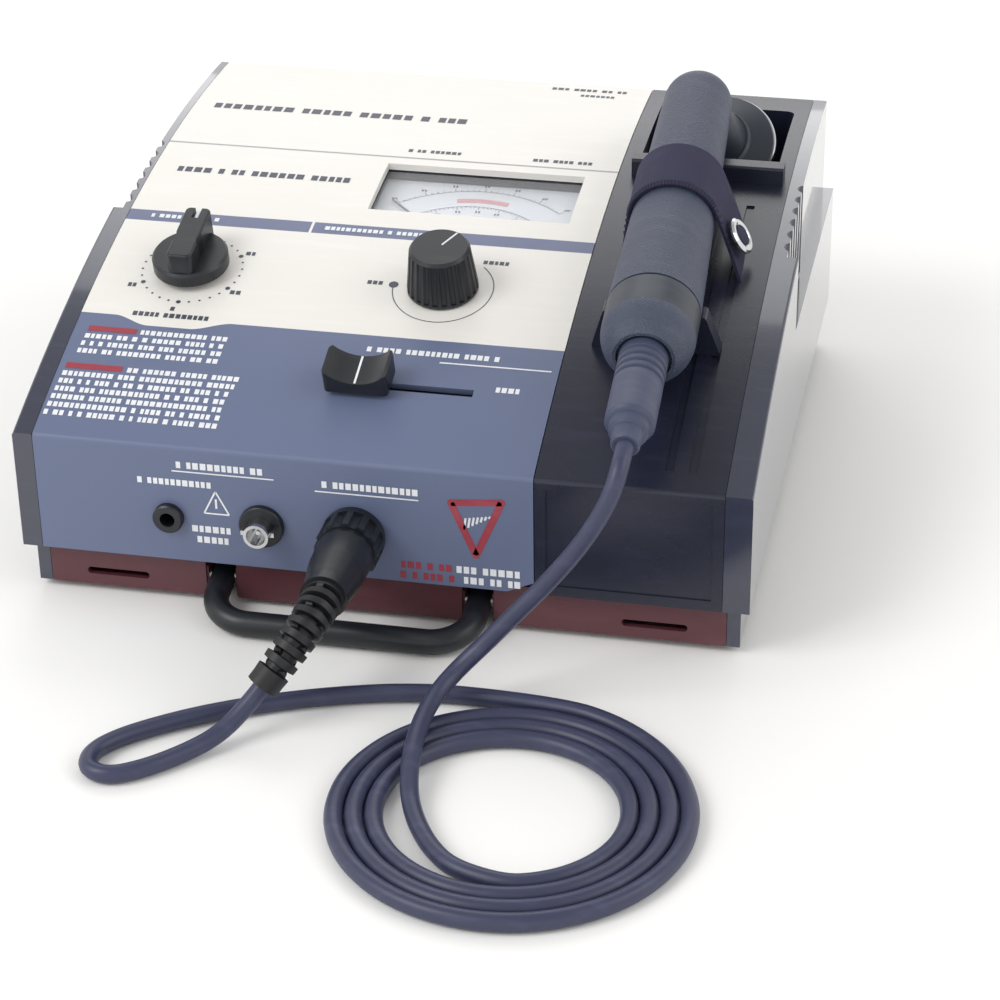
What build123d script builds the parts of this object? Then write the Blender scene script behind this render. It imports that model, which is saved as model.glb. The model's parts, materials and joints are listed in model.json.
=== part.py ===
from build123d import *
import os
from math import atan, cos, degrees, pi, radians, sin, sqrt, tan

# A bench-top ultrasound therapy unit with its applicator resting on it.
# +X is to the operator's right, +Y to the rear, +Z up.
# Places are given from the table, midway between the cheeks and midway between the
# front face and the rear edges of the cheeks; the finished pieces are then moved by
# origin_shift, so that the origin lies below the middle of everything but the cord.
# All sizes are in mm.

# Case
case_width = 305.0          # over both cheeks
case_depth = 296.0          # front face to the rear edges of the cheeks
fold_height = 75.0          # table to the fold at the top of the front face
rear_height = 124.0         # table to the rear edge of the cheeks
crown_rise = 16.4           # how far the curved top stands above its straight chord
lip_height = 22.0           # table to the lower edge of the front face
foot_height = 3.0
panel_wall = 3.0            # thickness of the control panel and of the deck
left_cheek_width = 8.5
right_cheek_width = 11.0
seam_x = 65.0               # seam between the control panel and the accessory deck
seam_gap = 0.2              # each side of a seam
fold_radius = 2.5
cheek_edge_radius = 1.2

# Cheeks
skirt_inset = 4.0           # lower part of a cheek, set in under the upper part
skirt_thickness = 5.5
recess_height = 80.0        # table to the ledge of the hand recess
recess_front_y = -8.0       # front end of the hand recess
recess_depth = 5.0
grip_groove_radius = 3.2
grip_groove_bite = 2.2
grip_groove_pitch = 9.6
grip_groove_count = 6
cheek_pocket_wall = 3.5
boss_size = 9.0
boss_length = 8.0

# Base pan
pan_set_back = 5.0          # behind the front face, and in from the rear edges
pan_wall = 2.5
pan_post_radius = 4.2
vent_length = 27.0
vent_height = 3.2
vent_z = 9.5
vent_x = 113.5

# Screws
screw_radius = 1.5
screw_head_radius = 3.1
screw_head_height = 1.8
screw_clearance = 0.2       # radial, in the hole a screw passes through

# Carry handle
handle_center_x = -14.0
handle_leg_spacing = 109.0
handle_rod_radius = 5.25
handle_reach = 27.0         # pivot to the front bar, along Y
handle_pivot_set_back = 9.0 # behind the front face
handle_pivot_z = 11.0
handle_bar_z = 5.5
handle_corner_radius = 17.0
handle_pin_radius = 2.4
pivot_running_gap = 0.05
ear_thickness = 3.0
ear_gap = 0.6               # each side of a leg
leg_slot_gap = 1.4          # around a leg where it passes the pan wall

# Curved top: places of what is set into it
knob_row_y = -47.4
timer_x = -104.0
intensity_x = 6.5
slide_y = -107.5
slide_travel = 43.0
slide_slot_width = 4.0
meter_x = 6.0
meter_y = 24.8
meter_width = 90.0
meter_length = 40.0

# Timer knob: a skirted bar knob
timer_skirt_radius = 16.4
timer_skirt_height = 6.0
timer_bar_width = 11.0
timer_bar_height = 15.5
timer_bar_reach = 19.5      # the pointed end, from the centre
shaft_radius = 3.0
shaft_clearance = 0.05
timer_knob_lift = 3.0       # gap between the timer knob and the panel
intensity_knob_lift = 0.8
knob_bore_depth = 11.0      # from the underside of a knob

# Intensity knob: fluted and tapered
intensity_base_radius = 15.2
intensity_top_radius = 12.8
intensity_height = 21.5
flute_count = 24
flute_radius = 1.3

# Slide control
slide_knob_length = 27.0
slide_knob_width = 16.5
slide_knob_lift = 2.5       # gap between the knob and the panel
slide_knob_height = 13.0    # panel to the tips of the knob
saddle_radius = 17.0
saddle_depth = 5.0
slide_stem_length = 8.0
slide_gap = 0.15            # each side of the stem in its slot

# Meter
meter_depth = 9.5           # panel surface to the dial
meter_frame_wall = 1.5
meter_pivot_y = -37.0       # from the window's centre, towards the operator
needle_length = 56.0
needle_rest = 45.0          # degrees left of straight up
needle_pivot_radius = 1.2

# Sockets on the front face
socket_z = 42.2
jack_x = -87.5
jack_bore_radius = 3.2
jack_nut_radius = 6.4
coax_x = -48.0
coax_surround_radius = 9.4
coax_barrel_radius = 5.3
coax_bore_radius = 4.0
output_x = -9.0
receptacle_radius = 12.6

# Output plug
coupling_radius = 13.2
coupling_length = 12.6
coupling_lobes = 12
plug_spigot_radius = 8.0
plug_radius = 11.4
plug_tail_radius = 9.6
plug_length = 50.0          # from the face of the receptacle
plug_boot_radius = 8.4
plug_boot_tip_radius = 5.2

# Cord
cord_radius = 3.6
coil_center = (80.5, -271.5)
coil_outer_radius = 69.8
coil_inner_radius = 40.0

# Accessory deck
well_x = (72.5, 134.5)
well_y = (59.5, 130.0)
well_floor_z = 96.5
well_corner_radius = 4.0
deck_groove_x = (117.5, 127.0)
deck_groove_width = 3.6
deck_groove_depth = 0.9

# Applicator: a round handle with an angled head
grip_radius = 15.2          # at the rear dome
grip_front_radius = 19.3    # at the collar
grip_wall = 3.0
grip_length = 158.0         # centre of the rear dome to the collar
collar_length = 17.0
nose_length = 15.0
nose_tip_radius = 12.6
nose_mouth_radius = 11.3
nose_mouth_depth = 3.0
boot_length = 56.0
boot_tip_length = 13.0
boot_tip_radius = 5.8
boot_ring_count = 4
boot_radius = 10.0
applicator_x = 97.0         # centre of the rear dome
applicator_y = 71.0
applicator_lift = 25.0      # centre of the rear dome above the curved top
applicator_drift = 0.0340   # sideways run of the axis per mm forward
applicator_fall = 0.176     # fall of the axis per mm forward
applicator_roll = 11.0
head_angle = 67.0           # between the handle's axis and the head's axis
head_reach = 34.0           # dome centre to the head's flange
head_radius = 28.5
flange_depth = 6.0
head_rim_height = 4.0
neck_radius = 12.6          # where it enters the dome
neck_flare_radius = 16.0
crystal_radius = 12.5
crystal_thickness = 1.6

# Cradles and strap
rear_cradle_y = (49.5, 57.5)
rear_cradle_height = 7.5
front_cradle_y = -72.0
front_cradle_thickness = 7.0
front_cradle_height = 20.0
front_cradle_half_width = 26.5
cradle_gap = 0.25           # between the applicator and what it rests on
strap_width = 31.0
strap_thickness = 1.6
strap_gap = 0.3             # between the strap and the handle
strap_along = 78.0          # rear dome to the middle of the strap, along the handle
strap_shift = 17.0          # how far the strap's ends lie forward of its middle
strap_left_x = 76.5
strap_right_x = 133.5
snap_radius = 8.0

# Rear panel and what is on it
rear_panel_thickness = 2.0
rear_panel_inset = 3.0
inlet_x = -95.0
inlet_z = 62.0
inlet_opening = (24.5, 16.5)
inlet_depth = 15.0
fuse_x = -50.0
fuse_radius = 6.5

board_z = 18.0               # underside of the circuit board
board_thickness = 1.6

panel_chamfer = (11.0, 5.0)  # front lower corner of the panel by the deck, across and up

origin_shift = 9.6
front_y = -case_depth / 2
rear_y = case_depth / 2
left_x = -case_width / 2 + left_cheek_width
right_x = case_width / 2 - right_cheek_width
under_drop = panel_wall * 1.07      # vertical thickness of a sloping wall
margin = 1.0                        # overlap of a cutting tool past a face


def crown(y):
    share = (y - front_y) / case_depth
    return fold_height + (rear_height - fold_height) * share + 4 * crown_rise * share * (1 - share)


def slope(y):
    share = (y - front_y) / case_depth
    return (rear_height - fold_height + 4 * crown_rise * (1 - 2 * share)) / case_depth


def top_frame(x, y, lift=0.0):
    normal = Vector(0, -slope(y), 1).normalized()
    return Plane(origin=Vector(x, y, crown(y)) + normal * lift, x_dir=(1, 0, 0), z_dir=normal)


def block(x_pair, y_pair, z_pair):
    size = [high - low for low, high in (x_pair, y_pair, z_pair)]
    middle = [(high + low) / 2 for low, high in (x_pair, y_pair, z_pair)]
    return Pos(*middle) * Box(*size)


def post(radius, low, high, x=0.0, y=0.0):
    return Pos(x, y, (low + high) / 2) * Cylinder(radius, high - low)


def along_y(radius, y_low, y_high, x=0.0, z=0.0):
    return Pos(x, (y_low + y_high) / 2, z) * Rot(90, 0, 0) * Cylinder(radius, y_high - y_low)


def along_x(radius, x_low, x_high, y=0.0, z=0.0):
    return Pos((x_low + x_high) / 2, y, z) * Rot(0, 90, 0) * Cylinder(radius, x_high - x_low)


def turned(points):
    outline = Polyline(*[(radius, 0, height) for radius, height in points], close=True)
    return revolve(Face(Wire(outline.edges())), Axis.Z)


def joined(pieces):
    whole = pieces[0]
    for piece in pieces[1:]:
        whole = whole + piece
    return whole


def slab(x_low, x_high, y_low, y_high, bottom, drop=0.0):
    # a wall or block whose top follows the curved top of the case
    low_top = crown(y_low) - drop
    high_top = crown(y_high) - drop
    control = low_top + slope(y_low) * (y_high - y_low) / 2
    crest = Bezier(
        (x_low, y_low, low_top), (x_low, (y_low + y_high) / 2, control), (x_low, y_high, high_top)
    )
    rim = Polyline(
        (x_low, y_high, high_top), (x_low, y_high, bottom), (x_low, y_low, bottom),
        (x_low, y_low, low_top),
    )
    return extrude(Face(Wire(crest.edges() + rim.edges())), x_high - x_low, dir=(1, 0, 0))


def edges_along_x(solid, y, z, reach=0.5):
    return [
        edge for edge in solid.edges().filter_by(Axis.X)
        if abs(edge.center().Y - y) < reach and abs(edge.center().Z - z) < reach
    ]


def bent_sheet(x_low, x_high):
    # the curved top and the front face in one moulding
    outer = slab(x_low, x_high, front_y, rear_y, lip_height)
    outer = fillet(edges_along_x(outer, front_y, fold_height), fold_radius)
    inner = slab(
        x_low - margin, x_high + margin, front_y + panel_wall, rear_y + margin, lip_height - margin,
        under_drop,
    )
    return outer - inner


def screw_places():
    return [(side, z) for side in (-1, 1) for z in (35.0, 65.0, 95.0)]


def base_screw_places():
    return [(side * (right_x - 5.5), y) for side in (-1, 1) for y in (-110.0, 110.0)]


def cheek(side):
    width = right_cheek_width if side > 0 else left_cheek_width
    outer = case_width / 2
    inner = outer - width
    body = slab(inner, outer, front_y, rear_y, lip_height)
    rim = [
        edge
        for edge in body.edges()
        if edge.center().X > outer - 0.1 and edge.center().Z > fold_height - margin
    ]
    body = fillet(rim, cheek_edge_radius)
    body -= block(
        (outer - recess_depth, outer + margin), (recess_front_y, rear_y + margin), (recess_height, 200)
    )
    for index in range(grip_groove_count):
        y = recess_front_y + grip_groove_pitch * (index + 0.8)
        x = outer - recess_depth + grip_groove_radius - grip_groove_bite
        body -= Pos(x, y, recess_height + 50 + margin) * Cylinder(grip_groove_radius, 100)
    pocket_top = recess_height - cheek_pocket_wall * 2
    body -= block(
        (inner - margin, outer - cheek_pocket_wall),
        (front_y + cheek_pocket_wall * 2, rear_y - boss_length * 2),
        (
            lip_height + cheek_pocket_wall,
            fold_height - cheek_pocket_wall * 2 if side < 0 else pocket_top - margin * 6,
        ),
    )
    skirt_outer = outer - skirt_inset
    body += block(
        (skirt_outer - skirt_thickness, skirt_outer),
        (front_y + pan_set_back, rear_y - pan_set_back),
        (foot_height, lip_height),
    )
    panel_back = rear_y - rear_panel_inset - rear_panel_thickness
    for _, z in screw_places()[:3]:
        boss = block(
            (inner - boss_size, inner), (panel_back - boss_length, panel_back),
            (z - boss_size / 2, z + boss_size / 2),
        )
        boss -= along_y(
            screw_radius, panel_back - boss_length - margin, panel_back + margin, inner - boss_size / 2, z
        )
        body += boss
    for x, y in base_screw_places()[2:]:
        boss = block(
            (x - boss_size / 2, inner), (y - boss_size / 2, y + boss_size / 2),
            (lip_height, lip_height + boss_size),
        )
        boss -= post(screw_radius, lip_height - margin, lip_height + boss_size + margin, x, y)
        body += boss
    return body if side > 0 else mirror(body, Plane.YZ)


def pan_half_width():
    return case_width / 2 - skirt_inset - skirt_thickness - seam_gap


def leg_places():
    return [handle_center_x + side * handle_leg_spacing / 2 for side in (-1, 1)]


def base_pan():
    half = pan_half_width()
    low, high = front_y + pan_set_back, rear_y - pan_set_back
    pan = block((-half, half), (low, high), (foot_height, lip_height - seam_gap))
    pan -= block(
        (-half + pan_wall, half - pan_wall), (low + pan_wall, high - pan_wall),
        (foot_height + pan_wall, 99),
    )
    slot_front, slot_rear = low - margin, low + pan_wall + margin
    for x in (-vent_x, vent_x):
        slot = block(
            (x - vent_length / 2, x + vent_length / 2), (slot_front, slot_rear),
            (vent_z - vent_height / 2, vent_z + vent_height / 2),
        )
        pan -= fillet(slot.edges().filter_by(Axis.Y), vent_height / 2 - 0.05)
    pivot_y = front_y + handle_pivot_set_back
    for x in leg_places():
        half_slot = handle_rod_radius + leg_slot_gap
        pan -= block(
            (x - half_slot, x + half_slot),
            (low - margin, pivot_y + half_slot + ear_gap),
            (foot_height - margin, lip_height - margin * 2),
        )
        for side in (-1, 1):
            near = x + side * (handle_rod_radius + ear_gap)
            far = near + side * ear_thickness
            ear = block(
                (min(near, far), max(near, far)),
                (low + pan_wall / 2, pivot_y + handle_rod_radius),
                (foot_height, handle_pivot_z + handle_rod_radius),
            )
            pan += ear
        pan -= along_x(
            handle_pin_radius, x - half_slot - ear_thickness - margin,
            x + half_slot + ear_thickness + margin, pivot_y, handle_pivot_z,
        )
    for x, y in base_screw_places():
        pan += post(pan_post_radius, foot_height, lip_height - seam_gap, x, y)
        pan -= post(screw_radius + screw_clearance, foot_height - margin, lip_height + margin, x, y)
        pan -= post(
            screw_head_radius + screw_clearance, foot_height - margin,
            foot_height + screw_head_height + 0.2, x, y,
        )
    for x, y in standoff_places():
        pan -= post(screw_radius, foot_height - margin, foot_height + pan_wall + margin, x, y)
    return pan


def feet():
    places = [(x, y) for x in (-118.0, 118.0) for y in (-120.0, 120.0)]
    return [
        turned(
            [(0, 0), (7.4, 0), (8.0, 0.8), (8.0, foot_height), (0, foot_height)]
        ).moved(Location((x, y, 0)))
        for x, y in places
    ]


def base_screws():
    low = foot_height + 0.2
    return [
        post(screw_head_radius, low, low + screw_head_height, x, y)
        + post(screw_radius, low + screw_head_height, lip_height + boss_size - margin, x, y)
        for x, y in base_screw_places()
    ]


def standoff_places():
    return [(x, y) for x in (-90.0, 60.0) for y in (-60.0, 60.0)]




def standoffs():
    low = foot_height + pan_wall
    return [
        post(3.2, low, board_z, x, y) - post(screw_radius, low - margin, board_z + margin, x, y)
        for x, y in standoff_places()
    ]


def board_screws():
    top = board_z + board_thickness
    return [
        post(screw_head_radius, top, top + screw_head_height, x, y) + post(
            screw_radius, board_z - 8, top, x, y
        )
        for x, y in standoff_places()
    ]


def main_board():
    board = block((-98, 68), (-68, 68), (board_z, board_z + board_thickness))
    for x, y in standoff_places():
        board -= post(screw_radius, board_z - margin, board_z + 2 * margin + board_thickness, x, y)
    top = board_z + board_thickness
    chips = [block((x, x + 18), (y, y + 7), (top, top + 4)) for x in (-60, -30, 0) for y in (-40, -15)]
    cans = [post(6.3, top, top + 22, x, 30) for x in (-70, -50)]
    relay = block((-20, 8), (22, 38), (top, top + 16))
    return joined([board] + chips + cans + [relay])


def transformer_core():
    core = block((86, 130), (-20, 28), (foot_height + pan_wall, 44))
    for x in (93.0, 115.0):
        core -= block((x, x + 10), (-21, 29), (14, 36))
    return core


def transformer_winding():
    coil = block((93.2, 124.8), (-34, 42), (14.2, 35.8))
    return (
        coil
        - block((102.8, 115.2), (-20.2, 28.2), (10, 40))
        - block((86, 93.4), (-40, 50), (10, 40))
        - transformer_core()
    )


def heat_sink():
    low = foot_height + pan_wall
    fins = [block((84 + 7 * index, 86 + 7 * index), (70, 120), (low + 4, low + 34)) for index in range(7)]
    return joined([block((82, 130), (70, 120), (low, low + 4))] + fins)


def power_transistors():
    low = foot_height + pan_wall + 4
    return [block((86.3, 90.7), (78 + 20 * index, 90 + 20 * index), (low, low + 14)) for index in range(2)]


# Carry handle

def carry_handle():
    pivot_y = front_y + handle_pivot_set_back
    bar_y = pivot_y - handle_reach
    tail = 4.5
    left, right = leg_places()
    fall = (handle_pivot_z - handle_bar_z) / handle_reach
    start_y, start_z = pivot_y + tail, handle_pivot_z + fall * tail
    path = FilletPolyline(
        (left, start_y, start_z), (left, bar_y, handle_bar_z), (
            right, bar_y, handle_bar_z
        ), (right, start_y, start_z),
        radius=handle_corner_radius,
    )
    section = Plane(origin=path @ 0, z_dir=path % 0) * Circle(handle_rod_radius)
    rod = sweep(section, path=path)
    for x in leg_places():
        rod -= along_x(handle_pin_radius + pivot_running_gap, x - 8, x + 8, pivot_y, handle_pivot_z)
    return rod


def handle_pins():
    pivot_y = front_y + handle_pivot_set_back
    reach = handle_rod_radius + ear_gap + ear_thickness
    return [along_x(handle_pin_radius, x - reach, x + reach, pivot_y, handle_pivot_z) for x in leg_places()]


# Control panel and what it carries

def slide_x():
    return intensity_x - slide_travel / 2


def control_panel():
    panel = bent_sheet(left_x + seam_gap, seam_x - seam_gap)
    reach = 30
    panel -= top_frame(meter_x, meter_y) * Box(meter_width, meter_length, reach)
    for x in (timer_x, intensity_x):
        panel -= top_frame(x, knob_row_y) * Cylinder(shaft_radius + 1.0, reach)
    slot_length = slide_travel + slide_stem_length + 2 * slide_gap
    panel -= top_frame(intensity_x, slide_y) * Box(slot_length, slide_slot_width, reach)
    panel -= along_y(jack_nut_radius - 1.4, front_y - margin, front_y + 9, jack_x, socket_z)
    panel -= along_y(coax_barrel_radius + 1.2, front_y - margin, front_y + 9, coax_x, socket_z)
    panel -= along_y(plug_spigot_radius + 2.0, front_y - margin, front_y + 9, output_x, socket_z)
    across, up = panel_chamfer
    side = seam_x - seam_gap
    corner = Polyline([(side - across, lip_height), (side, lip_height), (side, lip_height + up)], close=True)
    notch = extrude(Plane.XZ * make_face(corner), amount=2 * margin + panel_wall, both=True)
    return panel - Pos(0, front_y, 0) * notch


def timer_body():
    body = Pos(0, 0, -16.2) * Box(42, 42, 24) + post(3.8, -4.2, 0)
    return top_frame(timer_x, knob_row_y) * (body - post(shaft_radius + shaft_clearance, -24, 5))


def timer_shaft():
    return top_frame(timer_x, knob_row_y) * post(shaft_radius, -23.0, timer_knob_lift + knob_bore_depth)


def timer_knob():
    skirt = turned(
        [
            (0, 0), (timer_skirt_radius, 0), (timer_skirt_radius, timer_skirt_height - 1.2),
            (timer_skirt_radius - 1.0, timer_skirt_height), (0, timer_skirt_height),
        ]
    )
    half = timer_bar_width / 2
    bar = block((-half, half), (-timer_skirt_radius + 1.5, timer_bar_reach), (margin, timer_bar_height))
    bar = fillet(bar.edges().filter_by(Axis.Z), 2.4)
    bar = fillet(bar.faces().sort_by(Axis.Z)[-1].edges(), 1.0)
    bar -= block(
        (-1.6, 1.6), (timer_bar_reach - 7.5, timer_bar_reach + margin),
        (timer_bar_height - 8, timer_bar_height + margin),
    )
    for side in (-1, 1):
        bar -= Pos(side * (half + 9.2), -1.0, 10 + timer_skirt_height) * Cylinder(10.0, 20)
    bore = post(shaft_radius, -margin, knob_bore_depth)
    knob = skirt + bar - bore
    return top_frame(timer_x, knob_row_y, timer_knob_lift) * knob


def intensity_pot():
    body = post(11.0, -22.0, -4.4) + post(3.8, -4.5, 0) + block((-6, 6), (-16, -8), (-14, -12))
    return top_frame(intensity_x, knob_row_y) * (body - post(shaft_radius + shaft_clearance, -20.0, 5))


def intensity_shaft():
    return (
        top_frame(intensity_x, knob_row_y)
        * post(shaft_radius, -19.0, intensity_knob_lift + knob_bore_depth)
    )


def intensity_knob():
    lower = intensity_height - 1.4
    knob = turned([
        (0, 0), (intensity_base_radius, 0), (intensity_base_radius, 1.2),
        (intensity_top_radius + 0.2, lower), (
            intensity_top_radius - 0.9, intensity_height
        ), (0, intensity_height),
    ])
    for index in range(flute_count):
        turn = 360 / flute_count * index
        lean = degrees(atan((intensity_base_radius - intensity_top_radius) / intensity_height))
        tool = (
            Rot(0, 0, turn)
            * Pos(intensity_base_radius + 0.55, 0, 1.0)
            * Rot(0, -lean, 0)
            * Pos(0, 0, intensity_height / 2 - 1.0)
            * Cylinder(flute_radius, intensity_height - 2.5)
        )
        knob -= tool
    knob -= post(shaft_radius, -margin, knob_bore_depth)
    return top_frame(intensity_x, knob_row_y, intensity_knob_lift) * (Rot(0, 0, -30) * knob)


def slide_body():
    half = slide_travel / 2 + slide_stem_length
    body = block((-half - 4, half + 4), (-7, 7), (-17, -4.4))
    body -= block((-half, half), (-2.0, 2.0), (-15.5, 0))
    return top_frame(intensity_x, slide_y) * body


def slide_knob():
    length, width, height = slide_knob_length, slide_knob_width, slide_knob_height
    knob = block((-length / 2, length / 2), (-width / 2, width / 2), (slide_knob_lift, height))
    knob = fillet(knob.edges().filter_by(Axis.Z), 2.0)
    knob -= (
        Pos(0, 0, height + saddle_radius - saddle_depth)
        * Rot(90, 0, 0)
        * Cylinder(saddle_radius, width + 4)
    )
    stem_half = slide_slot_width / 2 - slide_gap
    knob += block(
        (-slide_stem_length / 2, slide_stem_length / 2), (-stem_half, stem_half),
        (-10.0, slide_knob_lift + margin),
    )
    return top_frame(slide_x(), slide_y) * knob


# Meter.  Heights are measured from the panel's surface at the window's centre.

def meter_frame_plane():
    return top_frame(meter_x, meter_y)


def ring_wall(width, length, wall, low, high):
    return (
        Pos(0, 0, (low + high) / 2)
        * (Box(width + 2 * wall, length + 2 * wall, high - low) - Box(width, length, 99))
    )


def meter_bezel():
    return meter_frame_plane() * ring_wall(meter_width, meter_length, meter_frame_wall, -6.9, -3.8)


def meter_lens():
    return (
        meter_frame_plane()
        * block(
            (-meter_width / 2 + 0.1, meter_width / 2 - 0.1),
            (-meter_length / 2 + 0.1, meter_length / 2 - 0.1), (-5.6, -4.6),
        )
    )


def meter_case():
    half_width = meter_width / 2 + 4
    top_edge, low_edge = meter_length / 2 + 4, meter_pivot_y - 8.5
    tray = block((-half_width, half_width), (low_edge, top_edge), (-24, -7.0))
    tray -= block((-half_width + 2, half_width - 2), (low_edge + 2, top_edge - 2), (-22, 0))
    return meter_frame_plane() * tray


def meter_dial():
    half_width = meter_width / 2 + 1.5
    dial = block(
        (-half_width, half_width), (meter_pivot_y - 5.5, meter_length / 2 + 1.5),
        (-meter_depth - 1.0, -meter_depth),
    )
    dial -= post(needle_pivot_radius + 1.0, -12, -8, 0, meter_pivot_y)
    return meter_frame_plane() * dial


def meter_movement():
    magnet = (
        post(5.5, -21.8, -meter_depth - 1.4, 0, meter_pivot_y)
        + block((-16, 16), (meter_pivot_y - 5, meter_pivot_y + 14), (-21.8, -12.0))
    )
    return meter_frame_plane() * (magnet + post(needle_pivot_radius, -12, -7.2, 0, meter_pivot_y))


def meter_needle():
    hub = post(3.6, -8.9, -7.9) - post(needle_pivot_radius + 0.05, -12, -4)
    blade = extrude(
        Polygon((-1.0, 3.0), (1.0, 3.0), (0.35, needle_length), (-0.35, needle_length), align=None), 0.5
    )
    tail = block((-1.4, 1.4), (-5.5, -3.0), (0, 0.8))
    needle = hub + Pos(0, 0, -8.7) * blade + Pos(0, 0, -8.8) * tail
    return meter_frame_plane() * (Pos(0, meter_pivot_y, 0) * (Rot(0, 0, needle_rest) * needle))


# Sockets on the front face

def phone_jack():
    nut = along_y(jack_nut_radius, front_y - 3.2, front_y, jack_x, socket_z)
    nut = chamfer(nut.edges().sort_by(Axis.Y)[0], 0.6)
    sleeve = along_y(jack_nut_radius - 1.5, front_y - 1, front_y + 16, jack_x, socket_z)
    body = block((jack_x - 7, jack_x + 7), (front_y + 5, front_y + 22), (socket_z - 8, socket_z + 8))
    return nut + sleeve + body - along_y(jack_bore_radius, front_y - 9, front_y + 18, jack_x, socket_z)


def coax_surround():
    ring = along_y(coax_surround_radius, front_y - 2.6, front_y, coax_x, socket_z)
    ring = fillet(ring.edges().sort_by(Axis.Y)[0], 0.8)
    return ring - along_y(coax_barrel_radius + 0.02, front_y - 9, front_y + 9, coax_x, socket_z)


def coax_socket():
    barrel = along_y(coax_barrel_radius, front_y - 10, front_y + 14, coax_x, socket_z)
    collar = along_y(
        coax_barrel_radius + 2.2, front_y + panel_wall, front_y + panel_wall + 2.4, coax_x, socket_z
    )
    barrel = barrel + collar - along_y(coax_bore_radius, front_y - 12, front_y - 1, coax_x, socket_z)
    pin = along_y(0.9, front_y - 6.5, front_y, coax_x, socket_z)
    lugs = [block((coax_x - 7, coax_x - 5), (front_y - 7.5, front_y - 5.5), (socket_z - 1, socket_z + 1))]
    lugs += [block((coax_x + 5, coax_x + 7), (front_y - 7.5, front_y - 5.5), (socket_z - 1, socket_z + 1))]
    return joined([barrel, pin] + lugs)


def output_receptacle():
    flange = along_y(receptacle_radius, front_y - 2.0, front_y, output_x, socket_z)
    body = along_y(plug_spigot_radius + 2.0, front_y - 1, front_y + 18, output_x, socket_z)
    cup = along_y(plug_spigot_radius + 0.2, front_y - 3, front_y + 12, output_x, socket_z)
    return flange + body - cup


def plug_ring():
    low = front_y - 2.2 - coupling_length
    ring = along_y(coupling_radius, low, low + coupling_length, output_x, socket_z)
    for index in range(coupling_lobes):
        turn = 2 * pi / coupling_lobes * (index + 0.5)
        ring -= along_y(
            2.3, low - 1, low + coupling_length - 2.2, output_x + (coupling_radius + 0.9) * cos(turn),
            socket_z + (coupling_radius + 0.9) * sin(turn),
        )
    return ring - along_y(plug_spigot_radius + 0.06, low - 1, low + coupling_length + 1, output_x, socket_z)


def plug_body():
    shoulder = front_y - 2.4 - coupling_length
    spigot = along_y(plug_spigot_radius, shoulder - 1, front_y + 9, output_x, socket_z)
    end = front_y - plug_length
    shape = turned([
        (0, 0), (plug_radius, 0), (plug_radius + 0.4, 3), (plug_radius, 16), (plug_tail_radius, 30),
        (plug_tail_radius, shoulder - end), (0, shoulder - end),
    ])
    return spigot + Pos(output_x, shoulder, socket_z) * Rot(90, 0, 0) * shape


boot_start = (output_x, front_y - plug_length, socket_z)
boot_bend = (output_x, front_y - plug_length - 19.0, socket_z)
boot_end = (-25.7, -231.0, 20.0)


boot_path = Bezier(boot_start, boot_bend, boot_end)


def plug_boot():
    first = Plane(origin=boot_path @ 0, z_dir=boot_path % 0) * Circle(plug_boot_radius)
    last = Plane(origin=boot_path @ 1, z_dir=boot_path % 1) * Circle(plug_boot_tip_radius)
    return sweep([first, last], path=boot_path, multisection=True)


# Cord: from the plug along the table into a loose flat coil, and from the coil up to the applicator

cord_out_points = [
    boot_end, tuple(boot_path @ 1 + (boot_path % 1) * 9.0),
    (-39.5, -246.0, 5.6), (-50.5, -258.0, 3.6), (-62.0, -270.0, 3.6),
    (
        -74.0, -277.5, 3.6
    ), (-84.0, -274.0, 3.6), (-85.5, -263.5, 3.6), (-79.0, -253.0, 3.6), (-67.5, -242.5, 3.6),
    (-51.0, -230.5, 3.6), (-28.0, -218.0, 3.6), (-3.0, -208.0, 3.6),
    (22.0, -200.8, 3.6), (47.0, -198.0, 3.6), (72.0, -199.5, 3.6),
]

cord_in_points = [
    (51.5, -291.0, 3.8), (45.0, -279.0, 4.2), (40.6, -266.5, 5.8), (38.0, -253.5, 9.6), (37.3, -240.0, 11.8),
    (37.6, -226.5, 13.0), (40.0, -213.5, 14.8), (45.5, -203.5, 19.0),
    (54.0, -198.5, 27.0), (66.0, -195.0, 40.5), (80.5, -192.5, 57.0), (93.5, -191.0, 75.0),
]


def corner_radii(points, name):
    radii = []
    for before, corner, after in zip(points, points[1:], points[2:]):
        first = Vector(*corner) - Vector(*before)
        second = Vector(*after) - Vector(*corner)
        turn = radians(first.get_angle(second))
        radii.append(0.45 * min(first.length, second.length) / tan(turn / 2))
    print(name, "bend radii:", [round(radius, 1) for radius in radii])
    return radii


def tube(points, name):
    path = FilletPolyline(*points, radius=corner_radii(points, name))
    section = Plane(origin=path @ 0, z_dir=path % 0) * Circle(cord_radius)
    solid = sweep(section, path=path)
    print(
        name, "length", round(path.length, 1), "volume share",
        round(solid.volume / (path.length * pi * cord_radius ** 2), 4),
    )
    return solid


def cord_coil():
    outer = post(coil_outer_radius, 0, 2 * cord_radius, *coil_center)
    return outer - post(coil_inner_radius, -margin, 2 * cord_radius + margin, *coil_center)


# Accessory deck

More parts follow.
